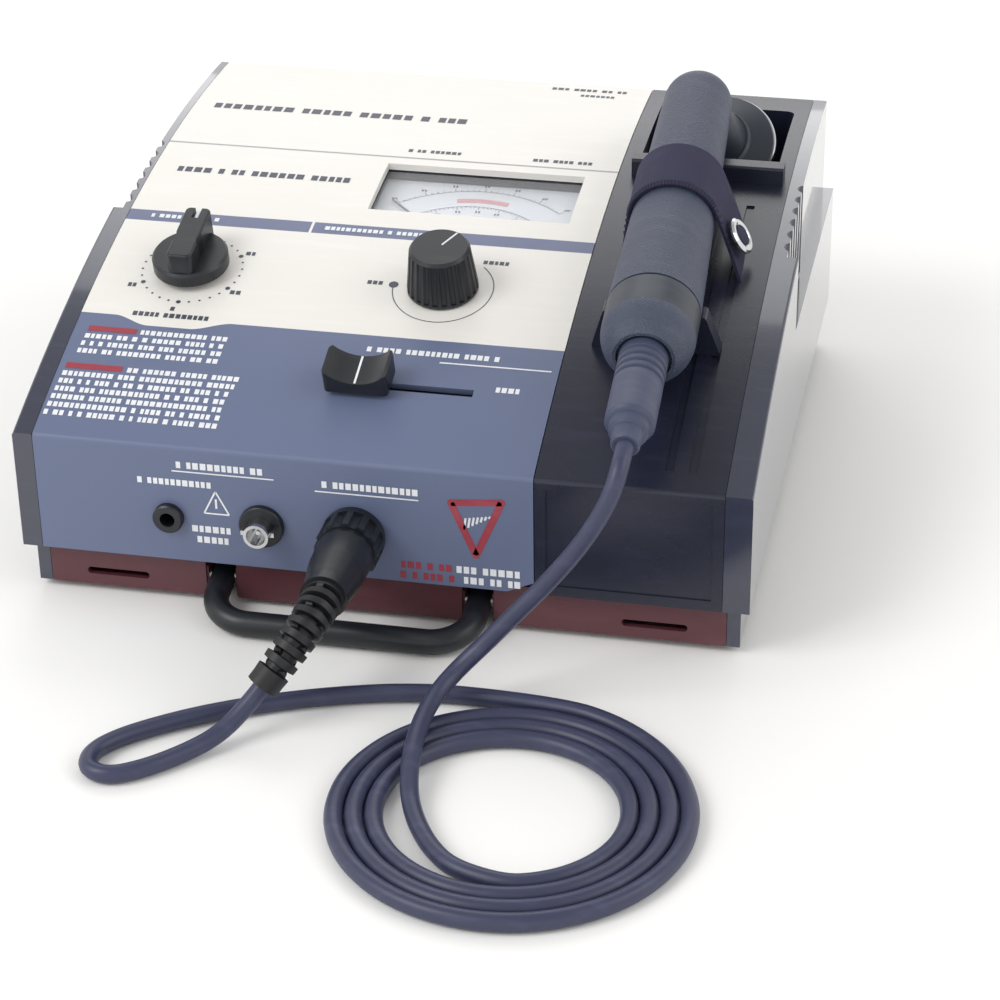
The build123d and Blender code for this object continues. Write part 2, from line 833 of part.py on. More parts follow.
def accessory_deck():
    left, right = seam_x + seam_gap, right_x - seam_gap
    deck = bent_sheet(left, right)
    wall = 2.2
    outer = block(
        (well_x[0] - wall, well_x[1] + wall), (well_y[0] - wall, well_y[1] + wall),
        (well_floor_z - wall, 200),
    )
    roof = slab(left, right, front_y, rear_y, lip_height)
    pocket = block(well_x, well_y, (well_floor_z, 200))
    pocket = fillet(pocket.edges().filter_by(Axis.Z), well_corner_radius)
    deck = deck + (outer & roof) - pocket
    for x in deck_groove_x:
        tool = slab(x - deck_groove_width / 2, x + deck_groove_width / 2, -138, 30, 10, deck_groove_depth)
        shell = slab(x - deck_groove_width / 2, x + deck_groove_width / 2, -138, 30, 10, -margin)
        deck -= shell - tool
    frame_border = 4.5
    deck -= block(
        (left + frame_border, right - frame_border), (front_y - margin, front_y + 0.6),
        (lip_height + frame_border, fold_height - frame_border),
    )
    return deck


def dome_center():
    return Vector(applicator_x, applicator_y, crown(applicator_y) + applicator_lift)


def handle_frame():
    # local Z runs along the handle towards the operator, local Y is up
    forward = Vector(applicator_drift, -1, -applicator_fall).normalized()
    side = Vector(1, applicator_drift, 0).normalized()
    return Plane(origin=dome_center(), x_dir=side, z_dir=forward)


def rolled(piece):
    return handle_frame() * (Rot(0, 0, applicator_roll) * piece)


def head_local(piece):
    # the head's own axis leaves the dome downwards and to the rear
    return Rot(180 - head_angle, 0, 0) * piece


def grip_blank(step=0.0, extra=0.0):
    # the tapering grip with its domed rear end, made larger or smaller by step
    rear, front = grip_radius + step, grip_front_radius + step
    end = grip_length + extra
    dome = ThreePointArc((0, 0, -rear), (rear * cos(pi / 4), 0, -rear * cos(pi / 4)), (rear, 0, 0))
    corners = [(rear, 0, 0), (front, 0, grip_length), (front, 0, end), (0, 0, end), (0, 0, -rear)]
    rest = Polyline(*(corners if extra else corners[:2] + corners[3:]))
    return revolve(Face(Wire(dome.edges() + rest.edges())), Axis.Z)


def handle_clearance():
    return handle_frame() * grip_blank(cradle_gap, collar_length + margin)


def handle_shell():
    shell = grip_blank() - grip_blank(-grip_wall, margin)
    shell -= head_local(post(neck_radius + 0.02, 0, 40))
    return rolled(shell)


def handle_collar():
    spigot_radius = grip_front_radius - grip_wall - 0.3
    groove = 1.1
    collar = turned([
        (0, -8), (spigot_radius, -8), (spigot_radius, 0), (grip_front_radius - 1.2, 0), (
            grip_front_radius - 1.2, groove
        ),
        (grip_front_radius, groove), (grip_front_radius, collar_length), (0, collar_length),
    ])
    collar -= post(9.0, -9, collar_length + margin)
    return rolled(Pos(0, 0, grip_length) * collar)


def nose_cone():
    middle = (nose_tip_radius + 0.68 * (grip_front_radius - nose_tip_radius), nose_length * 0.6)
    arc = ThreePointArc(
        (grip_front_radius, 0, 0), (middle[0], 0, middle[1]), (nose_tip_radius, 0, nose_length)
    )
    rest = Polyline(
        (nose_tip_radius, 0, nose_length), (0, 0, nose_length), (0, 0, 0), (grip_front_radius, 0, 0)
    )
    cone = revolve(Face(Wire(arc.edges() + rest.edges())), Axis.Z) + post(8.8, -10, 1)
    cone -= post(nose_mouth_radius, nose_length - nose_mouth_depth, nose_length + margin)
    return rolled(Pos(0, 0, grip_length + collar_length) * cone)


def boot_ring(radius, z, depth=0.9):
    # one ring of a ribbed boot: a groove followed by a rounded land
    return [(radius, z), (radius - depth, z + 0.5), (radius - depth, z + 1.7), (radius, z + 2.4)]


def applicator_boot():
    points = [(0, -nose_mouth_depth), (boot_radius, -nose_mouth_depth)]
    for index in range(boot_ring_count):
        points += boot_ring(boot_radius, 3.0 + 4.4 * index)
    shoulder = boot_length - boot_tip_length
    points += [
        (boot_radius, shoulder - 1.2), (boot_radius - 0.9, shoulder),
        (boot_tip_radius + 2.3, shoulder + 0.6),
    ]
    points += [(boot_tip_radius + 2.0, shoulder + 4.4), (boot_tip_radius + 0.6, shoulder + 5.6)]
    points += [(boot_tip_radius, boot_length - 0.8), (boot_tip_radius - 0.8, boot_length), (0, boot_length)]
    return rolled(Pos(0, 0, grip_length + collar_length + nose_length) * turned(points))


def head_neck():
    back = head_reach - flange_depth
    neck = turned([(0, 8), (neck_radius, 8), (neck_radius, 12), (neck_flare_radius, back), (0, back)])
    return rolled(head_local(neck - post(7.0, 7, head_reach)))


def head_flange():
    back, outer = head_reach - flange_depth, head_radius - 1.0
    flange = turned([
        (0, back), (neck_flare_radius + 1.0, back), (neck_flare_radius + 2.0, back + 1.4),
        (outer, head_reach - 1.2), (outer, head_reach), (0, head_reach),
    ])
    return rolled(head_local(flange - post(7.0, back - margin, head_reach + margin)))


def transducer_face():
    face = turned([
        (0, head_reach), (head_radius - 0.4, head_reach), (head_radius, head_reach + 0.5), (
            head_radius, head_reach + head_rim_height - 1.0
        ),
        (head_radius - 1.0, head_reach + head_rim_height), (0, head_reach + head_rim_height),
    ])
    return rolled(
        head_local(face - post(crystal_radius + 0.2, head_reach - 1, head_reach + head_rim_height - 1.0))
    )


def crystal():
    top = head_reach + head_rim_height - 1.0
    return rolled(head_local(post(crystal_radius, top - crystal_thickness, top)))


def crystal_contact():
    top = head_reach + head_rim_height - 1.0 - crystal_thickness
    return rolled(head_local(post(2.2, 14.0, top) - post(1.4, 14.5, top - 0.6)))


def rear_cradle():
    bar = slab(well_x[0] - 1.5, well_x[1] + 4.0, *rear_cradle_y, 60, -rear_cradle_height)
    bar = fillet(bar.edges().filter_by(Axis.X).sort_by(Axis.Z)[-2:], 1.2)
    return (
        bar
        - slab(seam_x, right_x, rear_cradle_y[0] - margin, rear_cradle_y[1] + margin, 50)
        - handle_clearance()
    )


def front_cradle_x():
    return applicator_x + applicator_drift * (applicator_y - front_cradle_y)


def front_cradle():
    frame = top_frame(front_cradle_x(), front_cradle_y)
    half, top_half = front_cradle_half_width, front_cradle_half_width - 5.5
    outline = Polygon(
        (-half, -2.0), (half, -2.0), (half, 1.2), (top_half, front_cradle_height),
        (-top_half, front_cradle_height), (-half, 1.2), align=None,
    )
    plate = extrude(Plane.XZ * outline, front_cradle_thickness / 2, both=True)
    plate = fillet(plate.edges().filter_by(Axis.Y).sort_by(Axis.Z)[-2:], 1.5)
    front = front_cradle_y - front_cradle_thickness * 2
    deck_below = slab(seam_x, right_x, front, front_cradle_y + front_cradle_thickness * 2, 50)
    return frame * plate - deck_below - handle_clearance()


def strap_radius():
    # to the middle of the strap's thickness, just clear of the grip at the strap's front edge
    share = (strap_along + strap_width / 2) / grip_length
    return grip_radius + (grip_front_radius - grip_radius) * share + strap_gap + strap_thickness / 2


def strap_foot(x):
    # where a leg of the strap ends, just clear of the deck, in the handle's own frame
    frame = handle_frame()
    heights = []
    for along in (-strap_width / 2, strap_width / 2):
        level = -30.0
        for _ in range(6):
            point = frame.from_local_coords(Vector(x, level, strap_along + strap_shift + along))
            level += (crown(point.Y) + strap_thickness - point.Z) / frame.y_dir.Z
        heights.append(level)
    return Vector(x, max(heights) + 0.3)


def tangent_point(foot, radius, side):
    distance = sqrt(foot.X ** 2 + foot.Y ** 2)
    turn = side * degrees(atan(sqrt(distance ** 2 - radius ** 2) / radius))
    return foot.normalized().rotate(Axis.Z, turn) * radius


def strap_leg(foot, touch):
    # a flat run of webbing, slanting forward from the grip to the deck
    half = strap_width / 2
    run = (foot - touch).normalized()
    normal = Vector(-run.Y, run.X) * (strap_thickness / 2)
    corners = [
        (touch, strap_along - half), (touch, strap_along + half),
        (foot, strap_along + strap_shift + half), (foot, strap_along + strap_shift - half),
    ]
    face = Face(
        Wire(
            Polyline(
                *[(point.X - normal.X, point.Y - normal.Y, z) for point, z in corners], close=True
            ).edges()
        )
    )
    return extrude(face, strap_thickness, dir=normal)


def strap():
    radius, half = strap_radius(), strap_width / 2
    feet_at = [
        strap_foot(x - applicator_x - applicator_drift * strap_along)
        for x in (strap_left_x, strap_right_x)
    ]
    touches = [tangent_point(foot, radius, side) for foot, side in zip(feet_at, (-1, 1))]
    band = (
        post(radius + strap_thickness / 2, -half, half)
        - post(radius - strap_thickness / 2, -half - 1, half + 1)
    )
    wedge = Polyline(
        (0, 0), touches[0].normalized() * 60, (-60, 60), (60, 60), touches[1].normalized() * 60,
        close=True,
    )
    band = band & extrude(Face(Wire(wedge.edges())), 60, both=True)
    legs = [strap_leg(foot, touch) for foot, touch in zip(feet_at, touches)]
    return handle_frame() * (Pos(0, 0, strap_along) * band + legs[0] + legs[1])


def snap_place():
    right = strap_foot(strap_right_x - applicator_x - applicator_drift * strap_along)
    touch = tangent_point(right, strap_radius(), 1)
    run = (right - touch).normalized()
    outward = Vector(-run.Y, run.X)
    if outward.X < 0:
        outward = outward * -1
    point = right - run * 12.0 + outward * (strap_thickness / 2)
    origin = handle_frame().from_local_coords(Vector(point.X, point.Y, strap_along + strap_shift * 0.7))
    tip = handle_frame().from_local_coords(
        Vector(point.X + outward.X, point.Y + outward.Y, strap_along + strap_shift * 0.7)
    )
    return Plane(origin=origin, z_dir=tip - origin)


def strap_snap():
    cap = turned(
        [
            (0, 0), (snap_radius, 0), (snap_radius, 0.9), (snap_radius - 0.9, 1.7),
            (snap_radius - 2.2, 1.7), (snap_radius - 3.2, 1.0), (0, 1.0),
        ]
    )
    return snap_place() * cap


# Rear panel

def rear_panel():
    back = rear_y - rear_panel_inset
    x_pair = (left_x + seam_gap, right_x - seam_gap)
    panel = slab(*x_pair, back - rear_panel_thickness, back, lip_height + seam_gap, under_drop + 0.1)
    width, height = inlet_opening
    panel -= block(
        (inlet_x - width / 2 - 1.6, inlet_x + width / 2 + 1.6), (back - 9, back + 9),
        (inlet_z - height / 2 - 1.6, inlet_z + height / 2 + 1.6),
    )
    panel -= along_y(fuse_radius, back - 9, back + 9, fuse_x, inlet_z)
    for side, z in screw_places():
        x = right_x - boss_size / 2 if side > 0 else left_x + boss_size / 2
        panel -= along_y(screw_radius + screw_clearance, back - 9, back + 9, x, z)
    for index in range(9):
        x = 10 + 11 * index
        slot = block((x, x + 4), (back - 9, back + 9), (42, 82))
        panel -= fillet(slot.edges().filter_by(Axis.Y), 1.9)
    return panel


def rear_screws():
    back = rear_y - rear_panel_inset
    screws = []
    for side, z in screw_places():
        x = right_x - boss_size / 2 if side > 0 else left_x + boss_size / 2
        head = along_y(screw_head_radius, back, back + screw_head_height, x, z)
        shank = along_y(screw_radius, back - rear_panel_thickness - boss_length + margin, back + 0.5, x, z)
        screws.append(head + shank)
    return screws


def mains_inlet():
    back = rear_y - rear_panel_inset
    width, height = inlet_opening
    flange = block(
        (inlet_x - width / 2 - 12, inlet_x + width / 2 + 12), (back, back + 2.4),
        (inlet_z - height / 2 - 3, inlet_z + height / 2 + 3),
    )
    flange = fillet(flange.edges().filter_by(Axis.Y), 3.0)
    body = block(
        (inlet_x - width / 2 - 1.5, inlet_x + width / 2 + 1.5), (back - inlet_depth, back + 1),
        (inlet_z - height / 2 - 1.5, inlet_z + height / 2 + 1.5),
    )
    cavity = block(
        (inlet_x - width / 2, inlet_x + width / 2), (back - inlet_depth + 2, back + 9),
        (inlet_z - height / 2, inlet_z + height / 2),
    )
    inlet = flange + body - cavity
    for x, z in ((-7.0, -1.5), (0.0, 2.5), (7.0, -1.5)):
        inlet += block(
            (inlet_x + x - 1, inlet_x + x + 1), (back - inlet_depth + 1, back - 1),
            (inlet_z + z - 2, inlet_z + z + 2),
        )
    return inlet


def fuse_holder():
    back = rear_y - rear_panel_inset
    body = (
        along_y(fuse_radius - 0.1, back - 26, back, fuse_x, inlet_z)
        + along_y(fuse_radius + 2, back, back + 1.6, fuse_x, inlet_z)
    )
    return body - along_y(4.2, back - 24, back + 4, fuse_x, inlet_z)


def fuse_cap():
    back = rear_y - rear_panel_inset
    cap = (
        along_y(fuse_radius, back + 1.6, back + 8, fuse_x, inlet_z)
        + along_y(4.1, back - 6, back + 2, fuse_x, inlet_z)
    )
    return cap - block((fuse_x - 5, fuse_x + 5), (back + 6.6, back + 9), (inlet_z - 0.7, inlet_z + 0.7))


def fuse():
    back = rear_y - rear_panel_inset
    return along_y(2.6, back - 23.9, back - 6.1, fuse_x, inlet_z)


nodes = {
    "base_pan": base_pan(),
    "feet": feet(),
    "base_screws": base_screws(),
    "left_cheek": cheek(-1),
    "right_cheek": cheek(1),
    "control_panel": control_panel(),
    "accessory_deck": accessory_deck(),
    "rear_panel": rear_panel(),
    "rear_screws": rear_screws(),
    "mains_inlet": mains_inlet(),
    "fuse_holder": fuse_holder(),
    "fuse_cap": fuse_cap(),
    "fuse": fuse(),
    "main_board": main_board(),
    "board_standoffs": standoffs(),
    "board_screws": board_screws(),
    "transformer_core": transformer_core(),
    "transformer_winding": transformer_winding(),
    "heat_sink": heat_sink(),
    "power_transistors": power_transistors(),
    "carry_handle": carry_handle(),
    "handle_pins": handle_pins(),
    "timer_body": timer_body(),
    "timer_shaft": timer_shaft(),
    "timer_knob": timer_knob(),
    "intensity_pot": intensity_pot(),
    "intensity_shaft": intensity_shaft(),
    "intensity_knob": intensity_knob(),
    "slide_body": slide_body(),
    "slide_knob": slide_knob(),
    "meter_bezel": meter_bezel(),
    "meter_lens": meter_lens(),
    "meter_case": meter_case(),
    "meter_dial": meter_dial(),
    "meter_movement": meter_movement(),
    "meter_needle": meter_needle(),
    "phone_jack": phone_jack(),
    "coax_surround": coax_surround(),
    "coax_socket": coax_socket(),
    "output_receptacle": output_receptacle(),
    "plug_ring": plug_ring(),
    "plug_body": plug_body(),
    "plug_boot": plug_boot(),
    "cord_coil": cord_coil(),
    "handle_shell": handle_shell(),
    "handle_collar": handle_collar(),
    "nose_cone": nose_cone(),
    "applicator_boot": applicator_boot(),
    "head_neck": head_neck(),
    "head_flange": head_flange(),
    "transducer_face": transducer_face(),
    "crystal": crystal(),
    "crystal_contact": crystal_contact(),
    "rear_cradle": rear_cradle(),
    "front_cradle": front_cradle(),
    "strap": strap(),
    "strap_snap": strap_snap(),
}

cord_exit = dome_center() + handle_frame().z_dir * (grip_length + collar_length + nose_length + boot_length)
cord_in_points += [
    tuple(cord_exit + Vector(-2.6, -17.5, -14.5)), tuple(cord_exit + handle_frame().z_dir * 11.0),
    tuple(cord_exit),
]
print("applicator end of the cord", cord_in_points[-2:])
nodes["cord_lead_out"] = tube(cord_out_points, "cord_lead_out")
nodes["cord_lead_in"] = tube(cord_in_points, "cord_lead_in")

os.makedirs("parts", exist_ok=True)
for name, shape in nodes.items():
    solids = shape if isinstance(shape, list) else [shape]
    moved = [solid.moved(Location((0, origin_shift, 0))) for solid in solids]
    export_step(Compound(children=moved) if len(moved) > 1 else moved[0], f"parts/{name}.step")
print(len(nodes), "nodes written")
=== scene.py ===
import bpy
import json
import math
import random
from mathutils import Matrix, Vector


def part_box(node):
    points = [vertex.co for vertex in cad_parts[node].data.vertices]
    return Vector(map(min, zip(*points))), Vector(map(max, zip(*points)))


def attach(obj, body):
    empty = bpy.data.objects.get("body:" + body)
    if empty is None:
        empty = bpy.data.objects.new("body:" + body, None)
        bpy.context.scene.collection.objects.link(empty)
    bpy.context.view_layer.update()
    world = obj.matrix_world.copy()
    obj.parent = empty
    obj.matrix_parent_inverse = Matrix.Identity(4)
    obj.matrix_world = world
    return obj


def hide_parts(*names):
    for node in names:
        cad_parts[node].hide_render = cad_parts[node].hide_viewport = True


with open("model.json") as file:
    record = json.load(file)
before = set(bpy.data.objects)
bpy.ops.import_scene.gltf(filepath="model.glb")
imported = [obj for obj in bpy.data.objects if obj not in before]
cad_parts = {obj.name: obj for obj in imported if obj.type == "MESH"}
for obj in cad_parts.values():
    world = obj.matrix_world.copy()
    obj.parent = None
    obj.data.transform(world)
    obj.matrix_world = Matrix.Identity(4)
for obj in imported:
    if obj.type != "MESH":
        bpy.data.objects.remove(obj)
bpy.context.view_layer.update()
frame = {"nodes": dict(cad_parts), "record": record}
bpy.ops.object.select_all(action="DESELECT")
nodes = frame["nodes"]
bodies = frame["record"]["behaviour"]["bodies"]
bodyOf = {node: body for body, members in bodies.items() for node in members}
print("frame loaded:", len(nodes), "pieces")

# ---- the camera and the light ----

cameraSetup = {
    "place": (0.26035, -1.11577, 0.63220),
    "right": (0.979227, 0.202416, -0.011965),
    "down": (0.089825, -0.485937, -0.869366),
    "forward": (-0.181788, 0.850231, -0.494025),
    "lens": 104.0,
}


def addCamera():
    bpy.ops.object.camera_add(location=cameraSetup["place"])
    camera = bpy.context.object
    camera.name = "benchCamera"
    right, down, forward = (Vector(cameraSetup[key]) for key in ("right", "down", "forward"))
    turn = Matrix((right, -down, -forward)).transposed().to_4x4()
    camera.matrix_world = Matrix.Translation(cameraSetup["place"]) @ turn
    camera.data.lens = cameraSetup["lens"]
    camera.data.dof.use_dof = False
    bpy.context.scene.camera = camera
    return camera


lightSetup = {
    "skyLow": 1.12,      # brightness of the room near the horizon
    "skyHigh": 0.50,     # and overhead
    "keyPower": 30.0,
    "keyPlace": (-1.5, -1.3, 1.9),
    "keySize": 1.3,
    "fillPower": 10.0,
    "fillPlace": (1.9, -0.2, 1.6),
    "fillSize": 1.2,
    "backPower": 12.0,
    "backPlace": (-0.3, 1.9, 1.5),
    "backSize": 1.6,
}


def addSoftbox(name, place, size, power):
    bpy.ops.object.light_add(type="AREA", location=place)
    light = bpy.context.object
    light.name = name
    light.data.shape = "SQUARE"
    light.data.size = size
    light.data.energy = power
    light.rotation_euler = (Vector((0, 0, 0.05)) - Vector(place)).to_track_quat("-Z", "Y").to_euler()
    return light


def addRoom():
    world = bpy.data.worlds.new("paleRoom")
    world.use_nodes = True
    bpy.context.scene.world = world
    tree = world.node_tree
    background = tree.nodes["Background"]
    coords = tree.nodes.new("ShaderNodeTexCoord")
    split = tree.nodes.new("ShaderNodeSeparateXYZ")
    ramp = tree.nodes.new("ShaderNodeMapRange")
    ramp.inputs["From Min"].default_value = 0.35
    ramp.inputs["From Max"].default_value = 0.85
    ramp.inputs["To Min"].default_value = lightSetup["skyLow"]
    ramp.inputs["To Max"].default_value = lightSetup["skyHigh"]
    tree.links.new(coords.outputs["Generated"], split.inputs[0])
    tree.links.new(split.outputs["Z"], ramp.inputs["Value"])
    tree.links.new(ramp.outputs["Result"], background.inputs["Strength"])
    background.inputs["Color"].default_value = (1.0, 0.995, 0.985, 1)
    for side in ("key", "fill", "back"):
        place, size, power = (lightSetup[side + word] for word in ("Place", "Size", "Power"))
        addSoftbox(side + "Softbox", place, size, power)
    bpy.context.scene.view_settings.view_transform = "Standard"
    bpy.context.scene.view_settings.look = "None"


addCamera()
addRoom()
print("camera and light ready")

# ---- finishes ----


def tone(red, green, blue):
    # a colour as a paint card gives it, turned to scene light
    parts = [channel / 255 for channel in (red, green, blue)]
    return [part / 12.92 if part <= 0.04045 else ((part + 0.055) / 1.055) ** 2.4 for part in parts] + [1.0]


def newGroup(name, inputs, outputs):
    group = bpy.data.node_groups.new(name, "ShaderNodeTree")
    for socketName, kind, value in inputs:
        socket = group.interface.new_socket(name=socketName, in_out="INPUT", socket_type=kind)
        if value is not None:
            socket.default_value = value
    for socketName, kind in outputs:
        group.interface.new_socket(name=socketName, in_out="OUTPUT", socket_type=kind)
    return group, group.nodes.new("NodeGroupInput"), group.nodes.new("NodeGroupOutput")


def mathNode(tree, operation, first, second=None, clamp=False):
    node = tree.nodes.new("ShaderNodeMath")
    node.operation = operation
    node.use_clamp = clamp
    for index, value in enumerate((first, second)):
        if value is None:
            continue
        if isinstance(value, (int, float)):
            node.inputs[index].default_value = value
        else:
            tree.links.new(value, node.inputs[index])
    return node.outputs[0]


def mouldGrainGroup():
    # fine pebble of a textured moulding, and a soft mottle that changes the sheen
    group, source, sink = newGroup(
        "mouldGrain",
        [
            ("Vector", "NodeSocketVector", None), ("Grain Size", "NodeSocketFloat", 900.0),
            ("Pebble", "NodeSocketFloat", 0.5),
        ],
        [("Height", "NodeSocketFloat"), ("Mottle", "NodeSocketFloat")],
    )
    link = group.links.new
    noise = group.nodes.new("ShaderNodeTexNoise")
    noise.inputs["Detail"].default_value = 4
    pebble = group.nodes.new("ShaderNodeTexVoronoi")
    mottle = group.nodes.new("ShaderNodeTexNoise")
    mottle.inputs["Scale"].default_value = 38
    mottle.inputs["Detail"].default_value = 5
    link(source.outputs["Vector"], noise.inputs["Vector"])
    link(source.outputs["Vector"], pebble.inputs["Vector"])
    link(source.outputs["Vector"], mottle.inputs["Vector"])
    link(source.outputs["Grain Size"], noise.inputs["Scale"])
    link(source.outputs["Grain Size"], pebble.inputs["Scale"])
    spot = mathNode(group, "MULTIPLY", pebble.outputs["Distance"], source.outputs["Pebble"])
    link(mathNode(group, "ADD", noise.outputs[0], spot), sink.inputs["Height"])
    link(mottle.outputs[0], sink.inputs["Mottle"])
    return group


def handlingGroup():
    # fine wipe marks and dust that lighten a used surface a little
    group, source, sink = newGroup(
        "handlingMarks",
        [("Vector", "NodeSocketVector", None), ("Amount", "NodeSocketFloat", 0.3)],
        [("Mask", "NodeSocketFloat")],
    )
    link = group.links.new
    stretch = group.nodes.new("ShaderNodeMapping")
    stretch.inputs["Scale"].default_value = (30, 220, 90)
    stretch.inputs["Rotation"].default_value = (0.1, 0.2, 0.5)
    streaks = group.nodes.new("ShaderNodeTexNoise")
    streaks.inputs["Scale"].default_value = 1.0
    streaks.inputs["Detail"].default_value = 6
    cloud = group.nodes.new("ShaderNodeTexNoise")
    cloud.inputs["Scale"].default_value = 14
    cloud.inputs["Detail"].default_value = 3
    link(source.outputs["Vector"], stretch.inputs["Vector"])
    link(stretch.outputs[0], streaks.inputs["Vector"])
    link(source.outputs["Vector"], cloud.inputs["Vector"])
    sharp = mathNode(group, "MULTIPLY", mathNode(group, "SUBTRACT", streaks.outputs[0], 0.52), 5.0, True)
    product = mathNode(group, "MULTIPLY", sharp, cloud.outputs[0])
    link(mathNode(group, "MULTIPLY", product, source.outputs["Amount"], True), sink.inputs["Mask"])
    return group


def webbingGroup():
    # diagonal rows of a woven band, read from the band's own map
    group, source, sink = newGroup(
        "webbingWeave",
        [("Vector", "NodeSocketVector", None), ("Rows", "NodeSocketFloat", 60.0)],
        [("Height", "NodeSocketFloat")],
    )
    link = group.links.new
    heights = []
    for angle in (0.6, -0.6):
        turn = group.nodes.new("ShaderNodeMapping")
        turn.inputs["Rotation"].default_value = (0, 0, angle)
        wave = group.nodes.new("ShaderNodeTexWave")
        wave.inputs["Distortion"].default_value = 0.4
        link(source.outputs["Vector"], turn.inputs["Vector"])
        link(turn.outputs[0], wave.inputs["Vector"])
        link(source.outputs["Rows"], wave.inputs["Scale"])
        heights.append(wave.outputs["Fac"])
    link(mathNode(group, "MAXIMUM", *heights), sink.inputs["Height"])
    return group


def panelPrintAndCreaseShadeGroup():
    # where the printed sheet is blue: the front face and lower slope, and a stripe; also a thin grey line of
    # painted shade along the crease
    group, source, sink = newGroup(
        "panelPrintAndCreaseShadeZones", [("Vector", "NodeSocketVector", None)],
        [("Blue", "NodeSocketFloat"), ("Stripe", "NodeSocketFloat"), ("CreaseShade", "NodeSocketFloat")],
    )
    split = group.nodes.new("ShaderNodeSeparateXYZ")
    group.links.new(source.outputs["Vector"], split.inputs[0])
    x, y = split.outputs["X"], split.outputs["Y"]

    def ramp(value, start, width):
        return mathNode(group, "DIVIDE", mathNode(group, "SUBTRACT", value, start), width, True)

    def soft(value):
        # eases a straight ramp in and out
        doubled = mathNode(group, "SUBTRACT", 3.0, mathNode(group, "MULTIPLY", value, 2.0))
        return mathNode(group, "MULTIPLY", mathNode(group, "MULTIPLY", value, value), doubled)

    fall = mathNode(group, "SUBTRACT", 1.0, soft(ramp(x, -0.0950, 0.018)))
    lobe = mathNode(group, "MULTIPLY", soft(ramp(x, -0.1290, 0.016)), fall)
    edge = mathNode(group, "SUBTRACT", -0.0700, mathNode(group, "MULTIPLY", lobe, 0.0050))
    blue = mathNode(group, "MULTIPLY", mathNode(group, "SUBTRACT", edge, y), 6000.0, True)
    above = mathNode(group, "SUBTRACT", 1.0, ramp(y, 0.0014, 0.0002))
    stripe = mathNode(group, "MULTIPLY", ramp(y, -0.0066, 0.0002), above)
    gap = mathNode(group, "ABSOLUTE", mathNode(group, "ADD", x, 0.0600))
    stripe = mathNode(group, "MULTIPLY", stripe, ramp(gap, 0.0005, 0.0002))
    # painted shade: a thin grey line along the crease, darker than the white sheet around it
    creaseShade = mathNode(group, "ABSOLUTE", mathNode(group, "SUBTRACT", y, 0.0606))
    creaseShade = mathNode(group, "SUBTRACT", 1.0, ramp(creaseShade, 0.0004, 0.0005))
    group.links.new(blue, sink.inputs["Blue"])
    group.links.new(stripe, sink.inputs["Stripe"])
    group.links.new(creaseShade, sink.inputs["CreaseShade"])
    return group


groups = {
    "grain": mouldGrainGroup(),
    "marks": handlingGroup(),
    "weave": webbingGroup(),
    "print": panelPrintAndCreaseShadeGroup(),
}

def finish(color, worn, rough, spread, grain, pebble, bump, coat=0.0, metal=0.0):
    # colour, colour where handled, roughness, its spread, grain size, pebble and bump
    return dict(
        color=color, worn=worn, rough=rough, spread=spread, grain=grain, pebble=pebble, bump=bump,
        coat=coat, metal=metal,
    )


